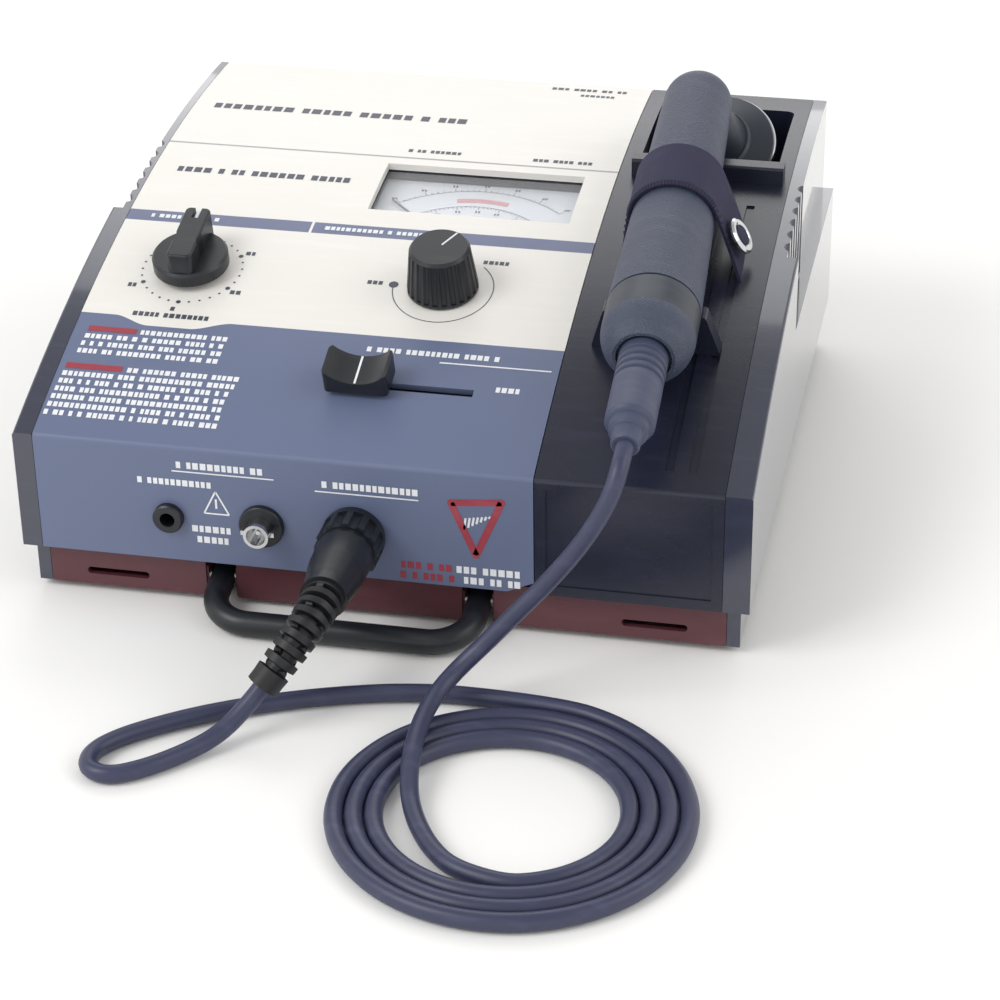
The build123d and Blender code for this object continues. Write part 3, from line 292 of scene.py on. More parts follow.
finishes = {
    "shell_dark": finish((31, 34, 50), (46, 48, 68), 0.27, 0.05, 1500, 0.6, 0.06),
    "cheek_dark": finish((44, 48, 66), (60, 64, 84), 0.20, 0.03, 1500, 0.4, 0.015, coat=1.0),
    "panel_print": finish((226, 223, 218), (232, 230, 226), 0.42, 0.05, 1800, 0.3, 0.05),
    "base_maroon": finish((88, 48, 55), (108, 70, 76), 0.42, 0.08, 1300, 0.5, 0.12),
    "knob_black": finish((22, 25, 31), (48, 52, 60), 0.36, 0.08, 1600, 0.4, 0.08),
    "handle_black": finish((20, 23, 29), (46, 50, 58), 0.38, 0.08, 1400, 0.4, 0.08),
    "rubber_black": finish((15, 16, 20), (44, 46, 52), 0.48, 0.1, 1500, 0.3, 0.08),
    "grip_plastic": finish((60, 67, 86), (84, 90, 110), 0.50, 0.08, 1250, 1.0, 0.75),
    "smooth_plastic": finish((38, 45, 56), (60, 66, 82), 0.40, 0.06, 1700, 0.3, 0.06),
    "boot_rubber": finish((62, 68, 92), (84, 90, 114), 0.50, 0.07, 1500, 0.4, 0.10),
    "cord_sheath": finish((52, 56, 82), (74, 79, 108), 0.42, 0.07, 1200, 0.2, 0.05),
    "bright_metal": finish((210, 210, 212), (230, 230, 230), 0.16, 0.06, 900, 0.2, 0.03, metal=1.0),
    "face_metal": finish((205, 206, 210), (225, 225, 228), 0.26, 0.07, 1100, 0.2, 0.04, metal=1.0),
    "steel": finish((150, 150, 152), (185, 185, 185), 0.34, 0.08, 1000, 0.3, 0.05, metal=1.0),
    "webbing": finish((38, 38, 66), (56, 57, 88), 0.85, 0.06, 1500, 0.5, 0.25),
    "dial_white": finish((222, 226, 232), (232, 235, 238), 0.5, 0.04, 1600, 0.2, 0.03),
    "needle_paint": finish((60, 62, 70), (80, 82, 90), 0.5, 0.05, 1600, 0.2, 0.03),
    "inner_plastic": finish((36, 36, 42), (60, 60, 66), 0.5, 0.08, 1300, 0.4, 0.1),
    "iron": finish((90, 90, 94), (130, 126, 120), 0.5, 0.1, 900, 0.5, 0.1, metal=0.6),
    "winding": finish((170, 95, 50), (205, 130, 75), 0.38, 0.08, 1400, 0.6, 0.2, metal=0.8),
    "bare_aluminium": finish((180, 181, 184), (210, 210, 212), 0.36, 0.08, 900, 0.2, 0.05, metal=1.0),
    "rear_paint": finish((40, 43, 52), (72, 75, 84), 0.55, 0.08, 1000, 0.8, 0.2),
    "board_green": finish((28, 84, 52), (50, 110, 76), 0.4, 0.08, 700, 0.7, 0.12),
    "ceramic": finish((214, 206, 182), (228, 222, 204), 0.35, 0.05, 1300, 0.2, 0.05),
    "ink_white": finish((226, 228, 232), (205, 208, 214), 0.5, 0.05, 1600, 0.2, 0.02),
    "ink_red": finish((150, 52, 66), (168, 80, 92), 0.5, 0.05, 1600, 0.2, 0.02),
    "ink_dark": finish((66, 70, 84), (96, 100, 112), 0.5, 0.05, 1600, 0.2, 0.02),
    "ink_pink": finish((214, 140, 146), (222, 160, 164), 0.5, 0.05, 1600, 0.2, 0.02),
}


def makeFinish(name, spec):
    material = bpy.data.materials.new(name)
    material.use_nodes = True
    tree = material.node_tree
    shader = tree.nodes["Principled BSDF"]
    coords = tree.nodes.new("ShaderNodeTexCoord")
    grain = tree.nodes.new("ShaderNodeGroup")
    grain.node_tree = groups["grain"]
    grain.inputs["Grain Size"].default_value = spec["grain"]
    grain.inputs["Pebble"].default_value = spec["pebble"]
    marks = tree.nodes.new("ShaderNodeGroup")
    marks.node_tree = groups["marks"]
    marks.inputs["Amount"].default_value = 0.8
    tree.links.new(coords.outputs["Object"], grain.inputs["Vector"])
    tree.links.new(coords.outputs["Object"], marks.inputs["Vector"])
    blend = tree.nodes.new("ShaderNodeMix")
    blend.data_type = "RGBA"
    blend.inputs["A"].default_value = tone(*spec["color"])
    blend.inputs["B"].default_value = tone(*spec["worn"])
    tree.links.new(marks.outputs["Mask"], blend.inputs["Factor"])
    tree.links.new(blend.outputs["Result"], shader.inputs["Base Color"])
    sheen = tree.nodes.new("ShaderNodeMapRange")
    sheen.inputs["To Min"].default_value = spec["rough"] - spec["spread"]
    sheen.inputs["To Max"].default_value = spec["rough"] + spec["spread"]
    tree.links.new(grain.outputs["Mottle"], sheen.inputs["Value"])
    tree.links.new(sheen.outputs["Result"], shader.inputs["Roughness"])
    bump = tree.nodes.new("ShaderNodeBump")
    bump.inputs["Strength"].default_value = spec["bump"]
    bump.inputs["Distance"].default_value = 0.0004
    tree.links.new(grain.outputs["Height"], bump.inputs["Height"])
    tree.links.new(bump.outputs[0], shader.inputs["Normal"])
    shader.inputs["Metallic"].default_value = spec["metal"]
    shader.inputs["Coat Weight"].default_value = spec["coat"]
    shader.inputs["Coat Roughness"].default_value = 0.06
    return material


def makePanelFinish():
    # the printed sheet: warm white above, slate blue below, one stripe across, and a thin grey line of
    # painted shade along the crease
    material = makeFinish("panelPrint", finishes["panel_print"])
    tree = material.node_tree
    coords = next(node for node in tree.nodes if node.type == "TEX_COORD")
    zones = tree.nodes.new("ShaderNodeGroup")
    zones.node_tree = groups["print"]
    tree.links.new(coords.outputs["Object"], zones.inputs["Vector"])
    current = tree.nodes["Principled BSDF"].inputs["Base Color"].links[0].from_socket
    # the crease colour is painted shade along the fold line; the blue and the stripe are print
    for output, color in (("CreaseShade", (150, 148, 150)), ("Stripe", (98, 106, 136)), ("Blue", (97, 107, 136))):
        layer = tree.nodes.new("ShaderNodeMix")
        layer.data_type = "RGBA"
        layer.inputs["B"].default_value = tone(*color)
        tree.links.new(current, layer.inputs["A"])
        tree.links.new(zones.outputs[output], layer.inputs["Factor"])
        current = layer.outputs["Result"]
    tree.links.new(current, tree.nodes["Principled BSDF"].inputs["Base Color"])
    return material


def makeWebbingFinish():
    material = makeFinish("strapWebbing", finishes["webbing"])
    tree = material.node_tree
    weave = tree.nodes.new("ShaderNodeGroup")
    weave.node_tree = groups["weave"]
    weave.inputs["Rows"].default_value = 26.0
    coords = next(node for node in tree.nodes if node.type == "TEX_COORD")
    tree.links.new(coords.outputs["UV"], weave.inputs["Vector"])
    bump = next(node for node in tree.nodes if node.type == "BUMP")
    tree.links.new(weave.outputs["Height"], bump.inputs["Height"])
    bump.inputs["Strength"].default_value = 0.5
    return material


def makeWindowFinish():
    # the clear meter window, with faint wipe marks in its sheen
    material = bpy.data.materials.new("meterWindow")
    material.use_nodes = True
    tree = material.node_tree
    shader = tree.nodes["Principled BSDF"]
    shader.inputs["Base Color"].default_value = (0.95, 0.97, 1.0, 1)
    shader.inputs["Alpha"].default_value = 0.12
    coords = tree.nodes.new("ShaderNodeTexCoord")
    marks = tree.nodes.new("ShaderNodeGroup")
    marks.node_tree = groups["marks"]
    marks.inputs["Amount"].default_value = 0.5
    spread = tree.nodes.new("ShaderNodeMapRange")
    spread.inputs["To Min"].default_value = 0.04
    spread.inputs["To Max"].default_value = 0.2
    tree.links.new(coords.outputs["Object"], marks.inputs["Vector"])
    tree.links.new(marks.outputs["Mask"], spread.inputs["Value"])
    tree.links.new(spread.outputs["Result"], shader.inputs["Roughness"])
    return material


materials = {}
for name, spec in finishes.items():
    materials[name] = makeFinish(name.replace("_", " ").title().replace(" ", ""), spec)
materials["panel_print"] = makePanelFinish()
materials["webbing"] = makeWebbingFinish()
materials["window"] = makeWindowFinish()


def paint(piece, slotName):
    piece.data.materials.clear()
    piece.data.materials.append(materials[slotName])


for entry in frame["record"]["subparts"]:
    paint(nodes[entry["node"]], entry["material_slot"])
for side in ("left_cheek", "right_cheek"):
    paint(nodes[side], "cheek_dark")
print("finishes made:", len(materials))

# ---- helpers for the pieces ----


def finishPiece(piece, name, slotName, body, smoothAngle=35):
    piece.name = name
    piece.data.name = name + "Mesh" if piece.type == "MESH" else name + "Line"
    paint(piece, slotName)
    if piece.type == "MESH":
        bpy.ops.object.select_all(action="DESELECT")
        piece.select_set(True)
        bpy.context.view_layer.objects.active = piece
        bpy.ops.object.transform_apply(location=True, rotation=True, scale=True)
        bpy.ops.object.shade_smooth_by_angle(angle=math.radians(smoothAngle))
    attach(piece, body)
    return piece


def softenEdges(piece, width, segments):
    bevel = piece.modifiers.new("softEdges", "BEVEL")
    bevel.width = width
    bevel.segments = segments
    bevel.limit_method = "ANGLE"
    bpy.ops.object.modifier_apply(modifier=bevel.name)


def startEmpty(name):
    # a mesh with nothing in it yet, open for adding shapes in edit mode
    bpy.ops.object.select_all(action="DESELECT")
    bpy.ops.mesh.primitive_plane_add(size=0.001)
    piece = bpy.context.object
    piece.name = name
    bpy.ops.object.mode_set(mode="EDIT")
    bpy.ops.mesh.delete(type="VERT")
    return piece


# ---- the applicator's cord: plug, loop, flat coil, and up to the handle ----

cordRoute = {
    "diameter": 0.0072,
    "out": [
        (-25.7, -221.4, 20.0), (-30.5, -225.5, 13.6), (-39.5, -236.4, 5.6), (-50.5, -248.4, 3.7),
        (-62.0, -260.4, 3.7), (-74.0, -267.9, 3.7), (-84.0, -264.4, 3.7), (-85.5, -253.9, 3.7),
        (-79.0, -243.4, 3.7), (-67.5, -232.9, 3.7),
        (-51.0, -220.9, 3.7), (-28.0, -208.4, 3.7), (-3.0, -198.4, 3.7), (22.0, -191.2, 3.7),
        (47.0, -188.4, 3.7),
    ],
    "coilCenter": (80.5, -261.9),
    "coilEntry": 98.0,      # degrees round the coil where the cord comes in
    "coilOuter": 66.0,      # radius of the outermost turn
    "coilStep": 7.45,       # a turn lies this far inside the last
    "coilTurn": 1262.0,     # degrees, to the foot of the last turn
    "in": [
        (67.5, -300.3, 3.7), (57.5, -291.2, 3.7), (49.0, -278.4, 3.9), (42.6, -264.5, 4.6),
        (39.4, -252.8, 7.6), (37.9, -241.0, 10.6),
        (37.3, -229.5, 12.0), (37.7, -216.5, 13.2), (40.0, -203.9, 14.8), (45.5, -193.9, 19.0),
        (54.0, -188.9, 27.0),
        (66.0, -185.4, 40.5), (80.5, -182.9, 57.0), (93.5, -181.4, 75.0),
    ],
}


def coilPoints():
    points = []
    step = 15.0
    swept = step
    while swept < cordRoute["coilTurn"]:
        turn = (swept - cordRoute["coilEntry"] + 3) / 360
        lap = math.floor(turn)
        share = max(0.0, (turn - lap - 0.5) * 2)      # the step inwards is made over the rear half
        radius = cordRoute["coilOuter"] - cordRoute["coilStep"] * (lap + share * share * (3 - 2 * share))
        if turn < 0:
            radius = cordRoute["coilOuter"] + 7.6 * (turn / (3 - cordRoute["coilEntry"]) * 360) ** 2
        angle = math.radians(cordRoute["coilEntry"] - swept)
        reach = radius / math.cos(math.radians(step / 2))
        x = cordRoute["coilCenter"][0] + reach * math.cos(angle)
        y = cordRoute["coilCenter"][1] + reach * math.sin(angle)
        points.append((x, y, 3.7))
        swept += step
    return points


def makeCord():
    exitPoint, exitWay = bootEnd()
    points = [Vector(point) / 1000 for point in cordRoute["out"] + coilPoints() + cordRoute["in"]]
    points += [exitPoint + Vector((-0.0026, -0.0175, -0.0145)), exitPoint + exitWay * 0.011, exitPoint]
    bpy.ops.object.select_all(action="DESELECT")
    bpy.ops.curve.primitive_nurbs_path_add()
    cord = bpy.context.object
    line = cord.data
    line.splines.clear()
    spline = line.splines.new("NURBS")
    spline.points.add(len(points) - 1)
    for target, point in zip(spline.points, points):
        target.co = (*point, 1)
    spline.order_u = 3
    spline.use_endpoint_u = True
    line.dimensions = "3D"
    line.resolution_u = 6
    line.bevel_depth = cordRoute["diameter"] / 2
    line.bevel_resolution = 5
    line.use_fill_caps = True
    cord.matrix_world = Matrix.Identity(4)
    return finishPiece(cord, "applicatorCord", "cord_sheath", bodyOf["cord_coil"])


def bootEnd():
    # the applicator boot's tip: where the cord enters it, and the way out of it
    mesh = nodes["applicator_boot"].data
    back = nodes["nose_cone"].data
    low = min(mesh.vertices, key=lambda v: v.co.y).co.y
    tip = [v.co for v in mesh.vertices if v.co.y < low + 0.0045]
    root = [v.co for v in back.vertices]
    start = sum(root, Vector()) / len(root)
    end = sum(tip, Vector()) / len(tip)
    return end, (end - start).normalized()


def cordLength(cord):
    return sum(spline.calc_length() for spline in cord.data.splines)


cord = makeCord()
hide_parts("cord_lead_out", "cord_coil", "cord_lead_in")
print("cord laid:", round(cordLength(cord), 3), "m")

# ---- the plug's ribbed boot ----

plugBootSize = {
    "start": (-9.0, -188.4, 42.2),
    "bend": (-9.0, -207.4, 42.2),
    "end": (-25.7, -221.4, 20.0),
    "rootRadius": 0.0084,
    "tipRadius": 0.0054,
    "ribs": 8,
    "grooveDepth": 0.0022,
    "foot": 0.05,        # plain length at the root; the whole boot is one unit long before it is laid
    "tail": 0.12,        # share of the length without ribs
}


def bootLine(share):
    first, second, third = (Vector(plugBootSize[key]) / 1000 for key in ("start", "bend", "end"))
    place = first * (1 - share) ** 2 + second * 2 * share * (1 - share) + third * share ** 2
    way = ((second - first) * (1 - share) + (third - second) * share).normalized()
    side = way.cross(Vector((0, 0, 1))).normalized()
    return place, side, side.cross(way).normalized(), way


def selectVerts(piece, test):
    # in edit mode: only the points that pass the test
    bpy.ops.mesh.select_mode(type="VERT")
    bpy.ops.mesh.select_all(action="DESELECT")
    bpy.ops.object.mode_set(mode="OBJECT")
    for vert in piece.data.vertices:
        vert.select = bool(test(vert.co))
    bpy.ops.object.mode_set(mode="EDIT")


def makePlugBoot():
    # modelled straight, one unit long, then laid along its line
    root, tip, foot = (plugBootSize[key] for key in ("rootRadius", "tipRadius", "foot"))
    ribs = plugBootSize["ribs"]
    bpy.ops.mesh.primitive_cylinder_add(vertices=40, radius=root, depth=foot, location=(0, 0, foot / 2))
    boot = bpy.context.object
    bpy.ops.object.transform_apply(location=True)
    bpy.ops.object.mode_set(mode="EDIT")
    pitch = (1.0 - plugBootSize["tail"]) / ribs
    height = foot
    for index in range(ribs):
        share = (index + 1) / ribs
        radius = root * (1 - share) + tip * share
        taper = radius / (radius + (root - tip) / ribs * 0.5)
        deep = (radius - plugBootSize["grooveDepth"]) / radius
        for rise, size in ((0.08, deep), (0.34, 1), (0.08, 1 / deep), (0.50, 1)):
            selectVerts(boot, lambda co: co.z > height - 0.001)
            bpy.ops.mesh.extrude_region_move(TRANSFORM_OT_translate={"value": (0, 0, rise * pitch)})
            shrink = size * (taper if rise == 0.50 else 1)
            bpy.ops.transform.resize(value=(shrink, shrink, 1))
            height += rise * pitch
    selectVerts(boot, lambda co: co.z > height - 0.001)
    bpy.ops.mesh.extrude_region_move(TRANSFORM_OT_translate={"value": (0, 0, 1.0 - height)})
    bpy.ops.object.mode_set(mode="OBJECT")
    softenEdges(boot, 0.0003, 2)
    for vert in boot.data.vertices:
        place, side, up, _ = bootLine(min(max(vert.co.z, 0), 1))
        vert.co = place + side * vert.co.x + up * vert.co.y
    return finishPiece(boot, "plugBootRibbed", "rubber_black", bodyOf["plug_boot"], 40)


def makeBootWebs():
    # bridges left between the ribs on alternate sides, as on a slotted strain relief
    webs = startEmpty("plugBootWebs")
    for index in range(plugBootSize["ribs"]):
        share = plugBootSize["foot"] + (1 - plugBootSize["tail"]) / plugBootSize["ribs"] * (index + 0.25)
        place, side, up, _ = bootLine(share)
        radius = plugBootSize["rootRadius"] * (1 - share) + plugBootSize["tipRadius"] * share - 0.0013
        across = side if index % 2 else up
        for sign in (-1, 1):
            bpy.ops.mesh.primitive_cube_add(size=1, location=place + across * radius * sign)
            bpy.ops.transform.resize(value=(0.0030, 0.0030, 0.0030))
    bpy.ops.object.mode_set(mode="OBJECT")
    softenEdges(webs, 0.0004, 2)
    return finishPiece(webs, "plugBootWebs", "rubber_black", bodyOf["plug_boot"])


plugBoot = makePlugBoot()
plugWebs = makeBootWebs()
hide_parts("plug_boot")
print("plug boot made")

# ---- the strap over the applicator ----

strapSize = {
    "domeCenter": (97.0, 80.6, 148.88),
    "drift": 0.0340,
    "fall": 0.176,
    "along": 78.0,       # from the dome's centre to the middle of the band, in mm
    "shift": 17.0,       # how far the feet lie forward of the middle
    "width": 31.0,
    "radius": 18.75,     # to the middle of the band's thickness
    "thickness": 0.0014,
    "leftFoot": (-23.15, -33.3),
    "rightFoot": (33.8, -30.2),
}


def handleFrame():
    forward = Vector((strapSize["drift"], -1, -strapSize["fall"])).normalized()
    side = Vector((1, strapSize["drift"], 0)).normalized()
    up = forward.cross(side)
    matrix = Matrix((side, up, forward)).transposed().to_4x4()
    matrix.translation = Vector(strapSize["domeCenter"]) / 1000
    return matrix


def strapLine():
    # across the handle from foot to foot: points with how far each lies down its leg
    radius = strapSize["radius"]
    left, right = Vector(strapSize["leftFoot"]), Vector(strapSize["rightFoot"])

    def touch(foot, sign):
        turn = sign * math.acos(radius / foot.length)
        heading = math.atan2(foot.y, foot.x) + turn
        return heading

    leftAngle, rightAngle = touch(left, -1), touch(right, 1)
    if leftAngle < rightAngle:
        leftAngle += 2 * math.pi
    points = []
    edge = Vector((math.cos(leftAngle), math.sin(leftAngle))) * radius
    for index in range(14):
        share = index / 14
        points.append((left.lerp(edge, share), 1 - share))
    for index in range(37):
        angle = leftAngle + (rightAngle - leftAngle) * index / 36
        points.append((Vector((math.cos(angle), math.sin(angle))) * radius, 0.0))
    edge = Vector((math.cos(rightAngle), math.sin(rightAngle))) * radius
    for index in range(1, 17):
        share = index / 16
        points.append((edge.lerp(right, share), share))
    return points


def strapPlace(share, across, lift=0.0):
    # share runs from the left foot to the right one, across from -1 (rear edge) to 1
    line = strapLine()
    where = share * (len(line) - 1)
    index = min(int(where), len(line) - 2)
    (first, firstLeg), (second, secondLeg) = line[index], line[index + 1]
    part = where - index
    flat = first.lerp(second, part)
    leg = firstLeg + (secondLeg - firstLeg) * part
    way = (second - first).normalized()
    out = Vector((-way.y, way.x))
    flat = flat + out * lift * 1000
    along = strapSize["along"] + strapSize["shift"] * leg ** 1.5 + across * strapSize["width"] / 2
    return handleFrame() @ (Vector((flat.x, flat.y, along)) / 1000)


def makeStrap():
    line = strapLine()
    bpy.ops.mesh.primitive_grid_add(x_subdivisions=len(line) - 1, y_subdivisions=10, size=2)
    strap = bpy.context.object
    total = sum((b[0] - a[0]).length for a, b in zip(line, line[1:]))
    for vert in strap.data.vertices:
        share = (vert.co.x + 1) / 2
        across = vert.co.y
        tail = max(0.0, (share - 0.93) / 0.07)     # the loose end is rounded off
        across *= math.sqrt(max(0.0, 1 - (tail * 0.85) ** 2))
        vert.co = strapPlace(share, across, 0.0001 * math.sin(share * 60) * (1 - vert.co.y ** 2))
    bpy.ops.object.modifier_add(type="SOLIDIFY")
    strap.modifiers[-1].thickness = strapSize["thickness"]
    strap.modifiers[-1].offset = 0
    bpy.ops.object.modifier_apply(modifier=strap.modifiers[-1].name)
    finishPiece(strap, "handleStrap", "webbing", bodyOf["strap"], 60)
    return strap, total / 1000


def makeStitches():
    # the overcast edge of the band: short threads round the front edge
    stitches = startEmpty("strapStitches")
    count = 46
    for index in range(count):
        share = 0.16 + 0.72 * index / count
        start, end = strapPlace(share, 0.86, 0.0009), strapPlace(share, 1.03, 0.0002)
        middle = (start + end) / 2
        way = end - start
        turn = way.to_track_quat("Z", "Y").to_euler()
        bpy.ops.mesh.primitive_cylinder_add(
            vertices=8, radius=0.00055, depth=way.length, location=middle, rotation=turn)
    bpy.ops.object.mode_set(mode="OBJECT")
    return finishPiece(stitches, "strapStitches", "webbing", bodyOf["strap"], 60)


strap, strapLength = makeStrap()
stitches = makeStitches()
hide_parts("strap")
print("strap made, flat length", round(strapLength, 4), "m")

# ---- printing on the panel ----

panelMarks = {
    "lift": 0.00012,
    "drop": 0.2,        # height that flat print is laid out at, before it is pressed down
    "lineShift": -0.0003,
    "textBlocks": [
        # x and y of the first line's left end, lines, length, pitch, height of the strokes, and the
        # share of the first line that is red
        dict(x=-0.1376, y=-0.0795, lines=4, length=0.0605, pitch=0.0043, height=0.0026, red=0.38),
        dict(x=-0.1407, y=-0.1012, lines=7, length=0.0740, pitch=0.0042, height=0.0026, red=0.36),
    ],
    "rearLines": [
        # x, y, length, height of small dark lines of print on the white sheet
        dict(x=-0.1340, y=0.1010, length=0.1240, height=0.0052),
        dict(x=0.0180, y=0.1500, length=0.0370, height=0.0030),
        dict(x=0.0330, y=0.1425, length=0.0170, height=0.0026),
        dict(x=-0.0327, y=0.0675, length=0.0250, height=0.0026),
        dict(x=0.0250, y=0.0665, length=0.0280, height=0.0026),
        dict(x=-0.1325, y=0.0365, length=0.0850, height=0.0042),
    ],
    "stripeLines": [
        dict(x=-0.1330, y=-0.0024, length=0.0310, height=0.0026),
        dict(x=-0.0540, y=-0.0024, length=0.0440, height=0.0026),
    ],
    "slideLines": [
        dict(x=-0.0170, y=-0.0782, length=0.0560, height=0.0028),
        dict(x=0.0410, y=-0.0950, length=0.0095, height=0.0028),
    ],
    "frontLines": [
        # x, z, length, height of print on the upright front face
        dict(x=-0.0830, z=0.0670, length=0.0400, height=0.0030),
        dict(x=-0.1000, z=0.0586, length=0.0330, height=0.0028),
        dict(x=-0.0780, z=0.0378, length=0.0170, height=0.0030),
        dict(x=-0.0760, z=0.0328, length=0.0150, height=0.0030),
        dict(x=-0.0220, z=0.0640, length=0.0390, height=0.0030),
    ],
}


frontSigns = {
    # corners of the two triangles on the front face, as x and z
    "small": [(-0.0723, 0.0455), (-0.0670, 0.0560), (-0.0617, 0.0455)],
    "large": [(0.0312, 0.0610), (0.0520, 0.0630), (0.0412, 0.0375)],
}

knobScales = {
    "timerRing": 0.0217,        # radius of the ring of dots
    "timerFigures": 0.0262,
    "timerFives": [30, -30, -90, -150],
    "smallDot": 0.00052,
    "largeDot": 0.00105,
    "intensityRing": 0.0215,
    "intensityDot": 0.0021,
    "intensityArc": (186, 408),
    "intensityLine": 0.0004,
}


def letterRow(x, y, length, height, place, seed):
    # a row of short strokes that only looks like print from afar
    random.seed(seed)
    position = x
    end = x + length
    while position < end - height * 0.4:
        width = height * random.uniform(0.55, 0.85)
        place(position + width / 2, y, width, height)
        position += width + height * random.choice((0.22, 0.24, 0.26, 0.26, 0.85))


def addFlat(location, turn, width, height):
    # one flat stroke of print, turned and then cut to size in its own plane
    bpy.ops.mesh.primitive_plane_add(size=1, location=location, rotation=turn.to_euler())
    bpy.ops.transform.resize(
        value=(width, height, 1), orient_type="GLOBAL", orient_matrix_type="GLOBAL", orient_matrix=turn,
        center_override=location,
    )


upright = Matrix.Rotation(math.radians(90), 3, "X")


def flatMark(x, y, width, height):
    addFlat((x, y, panelMarks["drop"]), Matrix.Identity(3), width, height)


def uprightMark(x, z, width, height):
    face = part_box("control_panel")[0].y - panelMarks["lift"]
    addFlat((x, face, z), upright, width, height)


def addDot(place, radius, rotation):
    bpy.ops.mesh.primitive_circle_add(
        vertices=16, radius=radius, fill_type="NGON", location=place, rotation=rotation)


def ringMarks(center, radius, angles, size):
    # round dots set in a ring; angles run anticlockwise from +X
    for angle in angles:
        x = center[0] + radius * math.cos(math.radians(angle))
        y = center[1] + radius * math.sin(math.radians(angle))
        addDot((x, y, panelMarks["drop"]), size, (0, 0, 0))


def arcMark(center, radius, width, start, end, step=4):
    # a thin printed arc, made of short flat strokes
    turns = max(2, round(abs(end - start) / step))
    for index in range(turns):
        middle = math.radians(start + (end - start) * (index + 0.5) / turns)
        length = 2 * radius * math.tan(math.radians(abs(end - start) / turns / 2)) * 1.02
        x, y = center[0] + radius * math.cos(middle), center[1] + radius * math.sin(middle)
        place = (x, y, panelMarks["drop"])
        addFlat(place, Matrix.Rotation(middle, 3, "Z"), width, length)


def pressOnto(piece, target, lift):
    # lays flat print down on the curved sheet
    wrap = piece.modifiers.new("pressDown", "SHRINKWRAP")
    wrap.target = target
    wrap.wrap_method = "PROJECT"
    wrap.use_project_z = True
    wrap.use_negative_direction = True
    wrap.use_positive_direction = False
    wrap.offset = lift
    bpy.context.view_layer.objects.active = piece
    bpy.ops.object.modifier_apply(modifier=wrap.name)


def endMarks(piece, name, slotName, press=True):
    bpy.ops.object.mode_set(mode="OBJECT")
    if press:
        pressOnto(piece, nodes["control_panel"], panelMarks["lift"])
    return finishPiece(piece, name, slotName, bodyOf["control_panel"])


def jointOf(bodyName):
    return next(joint for joint in frame["record"]["behaviour"]["joints"] if joint["child"] == bodyName)


def jointFrame(bodyName):
    # at a joint: Z along its axis, X to the right, and Y up the slope
    joint = jointOf(bodyName)
    normal = Vector(joint["axis"]).normalized()
    side = Vector((1, 0, 0))
    rear = normal.cross(side).normalized()
    matrix = Matrix((side, rear, normal)).transposed().to_4x4()
    matrix.translation = Vector(joint["pos_m"])
    return matrix


def makePanelPrint():
    timer, intensity = (jointOf(name)["pos_m"] for name in ("timer", "intensity"))
    white = startEmpty("whitePrint")
    seed = 1
    for block in panelMarks["textBlocks"]:
        for line in range(block["lines"]):
            start = block["length"] * block["red"] if line == 0 else 0.0
            x = block["x"] + start + panelMarks["lineShift"] * line
            y = block["y"] - block["pitch"] * line
            letterRow(x, y, block["length"] - start, block["height"], flatMark, seed)
            seed += 1
    for line in panelMarks["slideLines"] + panelMarks["stripeLines"]:
        letterRow(line["x"], line["y"], line["length"], line["height"], flatMark, seed)
        seed += 1
    for index in range(12):
        flatMark(0.0168 + 0.0039 * index, -0.0826, 0.0040, 0.0007)
    endMarks(white, "whitePrint", "ink_white")
    red = startEmpty("redPrint")
    for block in panelMarks["textBlocks"]:
        for index in range(4):
            width = block["length"] * (block["red"] - 0.03) / 4
            x, y = block["x"] + width * (index + 0.5), block["y"] + 0.0002
            flatMark(x, y, width * 1.02, block["height"] * 1.15)
    endMarks(red, "redPrint", "ink_red")
    dark = startEmpty("darkPrint")
    for line in panelMarks["rearLines"]:
        letterRow(line["x"], line["y"], line["length"], line["height"], flatMark, seed)
        seed += 1
    fives = knobScales["timerFives"]
    minutes = [90 - 12 * minute for minute in range(1, 25) if minute % 5]
    ringMarks(timer, knobScales["timerRing"], minutes, knobScales["smallDot"])
    ringMarks(timer, knobScales["timerRing"], fives, knobScales["largeDot"])
    for angle in fives:
        x = timer[0] + knobScales["timerFigures"] * math.cos(math.radians(angle))
        y = timer[1] + knobScales["timerFigures"] * math.sin(math.radians(angle))
        letterRow(x - 0.0022, y, 0.0036, 0.0024, flatMark, seed)
        seed += 1
    letterRow(timer[0] - 0.0175, timer[1] - 0.0305, 0.0350, 0.0026, flatMark, seed)
    ringMarks(intensity, knobScales["intensityRing"], [180], knobScales["intensityDot"])
    arcMark(intensity, knobScales["intensityRing"], knobScales["intensityLine"], *knobScales["intensityArc"])
    letterRow(intensity[0] - 0.0330, intensity[1] + 0.0004, 0.0075, 0.0024, flatMark, seed)
    letterRow(intensity[0] + 0.0135, intensity[1] + 0.0195, 0.0125, 0.0024, flatMark, seed + 1)
    endMarks(dark, "darkPrint", "ink_dark")


